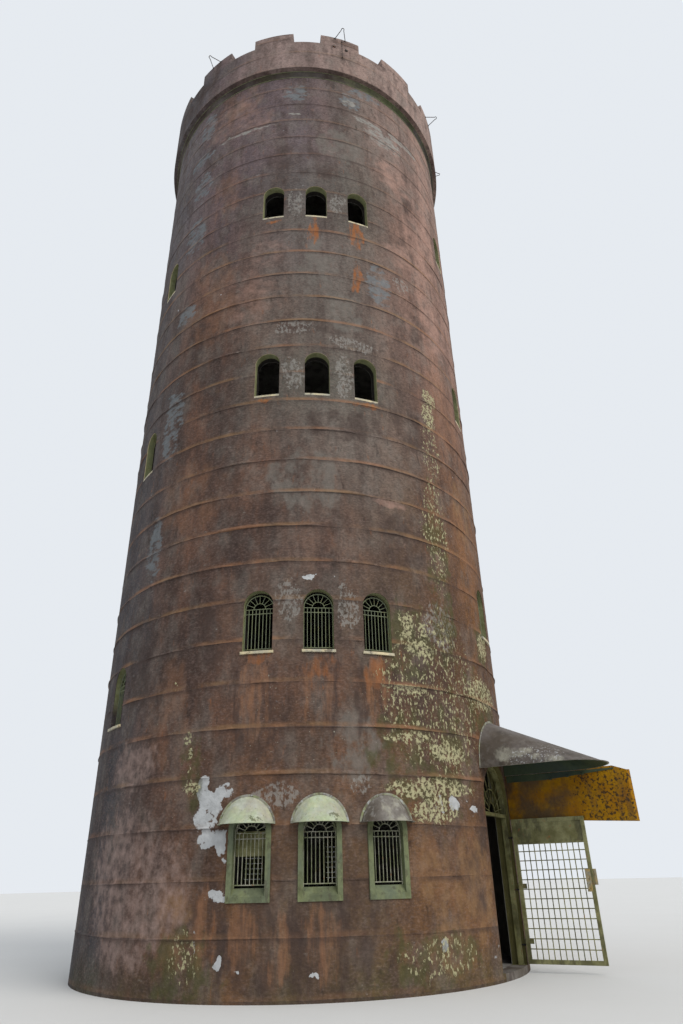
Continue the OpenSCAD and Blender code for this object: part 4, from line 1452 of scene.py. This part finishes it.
@dataclass
class Tower:
    """The whole tower: finishes for the CAD nodes, and the pieces added to them.

    Attributes:
        paint: Makes the materials.
        turns: Name of each group of windows, and its turn from the front.
        single: Turn from a group to the single windows beside it.
        rise: How much higher or lower those are.
        window_half: Half of an upper window's width.
        window_h: Height of an upper window.
        margin: How far the pour joints stop short of it, in degrees.
        low_holes: Half angle, foot and head of a low window and of its hood.
        door_holes: Bearing, half angle, foot and head of the doorway, its hood and the screen.
        low_sill: Foot of the low windows' grilles.
        low_head: Top of the low windows' boards.
        merlons: Number of merlons round the parapet.
        hoops: Numbers of the merlons with a rod hoop.
        hood_slip: How far the left front hood is off its window's middle, in degrees.
    """

    paint: Paint = field(default_factory=Paint)
    turns: tuple[tuple[str, float], ...] = (("front", 0.0), ("back", 180.0))
    single: float = 60.0
    rise: float = 0.78
    window_half: float = 0.235
    window_h: float = 1.02
    margin: float = 0.45
    low_holes: Rows = ((4.75, 1.07, 2.24), (6.3, 1.97, 2.42))
    door_holes: Rows = ((DOOR, 9.6, 0.0, 2.97), (DOOR, 10.2, 2.78, 3.67), (69.0, 3.0, 1.9, 2.9))
    low_sill: float = 1.245
    low_head: float = 2.17
    merlons: int = 14
    hoops: tuple[int, ...] = (-2, 0, 2, 3, 5, 7, 9)
    hood_slip: float = 0.8

    def trio(self, turn: float) -> list[float]:
        """Returns the bearings of a group of three windows."""
        return [FRONT + turn + side * WINDOW_STEP for side in (-1, 0, 1)]

    def low_windows(self) -> list[float]:
        """Returns the bearings of the ground storey's windows."""
        return [bearing for _, turn in self.turns for bearing in self.trio(turn)]

    def upper_windows(self, sill: float) -> list[tuple[float, float]]:
        """Lists the windows of an upper storey.

        Args:
            sill: Sill height of its groups of three.

        Returns:
            Bearing and sill height of each window.
        """
        found = []
        for _, turn in self.turns:
            found += [(bearing, sill) for bearing in self.trio(turn)]
            found += [(FRONT + turn + side * self.single, sill + side * self.rise) for side in (1, -1)]
        return found

    def holes(self) -> Rows:
        """Lists the openings and hoods that the pour joints stop at.

        Returns:
            Bearing, half angle, foot and head of each.
        """
        half = math.degrees(self.window_half / WALL_R) + self.margin
        upper = [(bearing % 360, half, z - 0.01, z + self.window_h + 0.01)
                 for sill in SILLS for bearing, z in self.upper_windows(sill)]
        low = [(bearing % 360, *hole) for bearing in self.low_windows() for hole in self.low_holes]
        return (*upper, *low, *self.door_holes)

    def window_hoods(self) -> list[SheetHood]:
        """Makes the hoods over the low windows, of which the right front one has lost its paint.

        Returns:
            The hoods.
        """
        made = []
        for side, turn in self.turns:
            for i, bearing in enumerate(self.trio(turn)):
                sheet = GREY_SHEET if (side, i) == ("front", 2) else MINT_SHEET
                slip = self.hood_slip if (side, i) == ("front", 0) else 0.0
                made.append(SheetHood(f"window_hood_{side}_{i + 1}", "awning", (sheet, HOOD_UNDER, EDGE),
                                      stands_for=(f"window_hoods_{side}",), bearing=bearing - slip,
                                      creases=3))
        return made

    def pieces(self) -> list[Piece]:
        """Lists the pieces to add.

        Returns:
            The pieces in the order in which they are built.
        """
        low = self.low_windows()
        row_1 = tuple((bearing, self.low_sill) for bearing in low)
        row_2 = tuple((bearing, z + 0.04) for bearing, z in self.upper_windows(SILLS[0]))
        boards = ((low[0], 1.62, 1.93), *((bearing, self.low_sill, self.low_head) for bearing in low[3:]))
        hoops = tuple((i + 0.5) * 360 / self.merlons for i in self.hoops)
        return [
            PourJoints("pour_joints", "render", (WALL,), holes=self.holes()),
            CoveBeads("cove_beads", "trim", (BEAD,)),
            Grilles("grilles_1", "gate_paint", (PALE_BARS,), places=row_1, spring=0.655, cross=(0.035, 0.585),
                    petals=True),
            Grilles("grilles_2", "gate_paint", (DARK_BARS,), places=row_2, width=0.468, radius=3.655),
            *self.window_hoods(),
            SheetHood("entrance_hood_sheet", "hood", (HOOD_TOP, HOOD_UNDER, EDGE),
                      stands_for=("entrance_hood",), bearing=DOOR, z=HOOD_Z, half=0.63, height=0.78,
                      proj=1.8, straight=1.14),
            ScreenRail("screen_rail", "hood", (HOOD_UNDER,)),
            RodHoops("rod_hoops_round", "ironwork", (IRON,), stands_for=("rod_hoops",), bearings=hoops),
            DownRod("down_rod", "ironwork", (IRON,)),
            WindowBoards("window_boards", "gate_paint", (BOARD,), windows=boards),
            StrapRivets("strap_rivets", "ironwork", (IRON,), body="gate"),
        ]

    def dress_nodes(self) -> None:
        """Gives every CAD node its finish."""
        for name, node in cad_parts.items():
            finish = next(f for key, f in NODE_FINISHES.items() if name.startswith(key))
            node.data.materials.clear()
            node.data.materials.append(self.paint.material(finish))

    def build(self) -> None:
        """Makes everything."""
        self.dress_nodes()
        for piece in self.pieces():
            piece.build(self.paint)


def main() -> None:
    """Builds the tower and the studio."""
    Tower().build()
    Studio().set_up()
    LOG.info("sizes written")


if __name__ == "__main__":
    main()
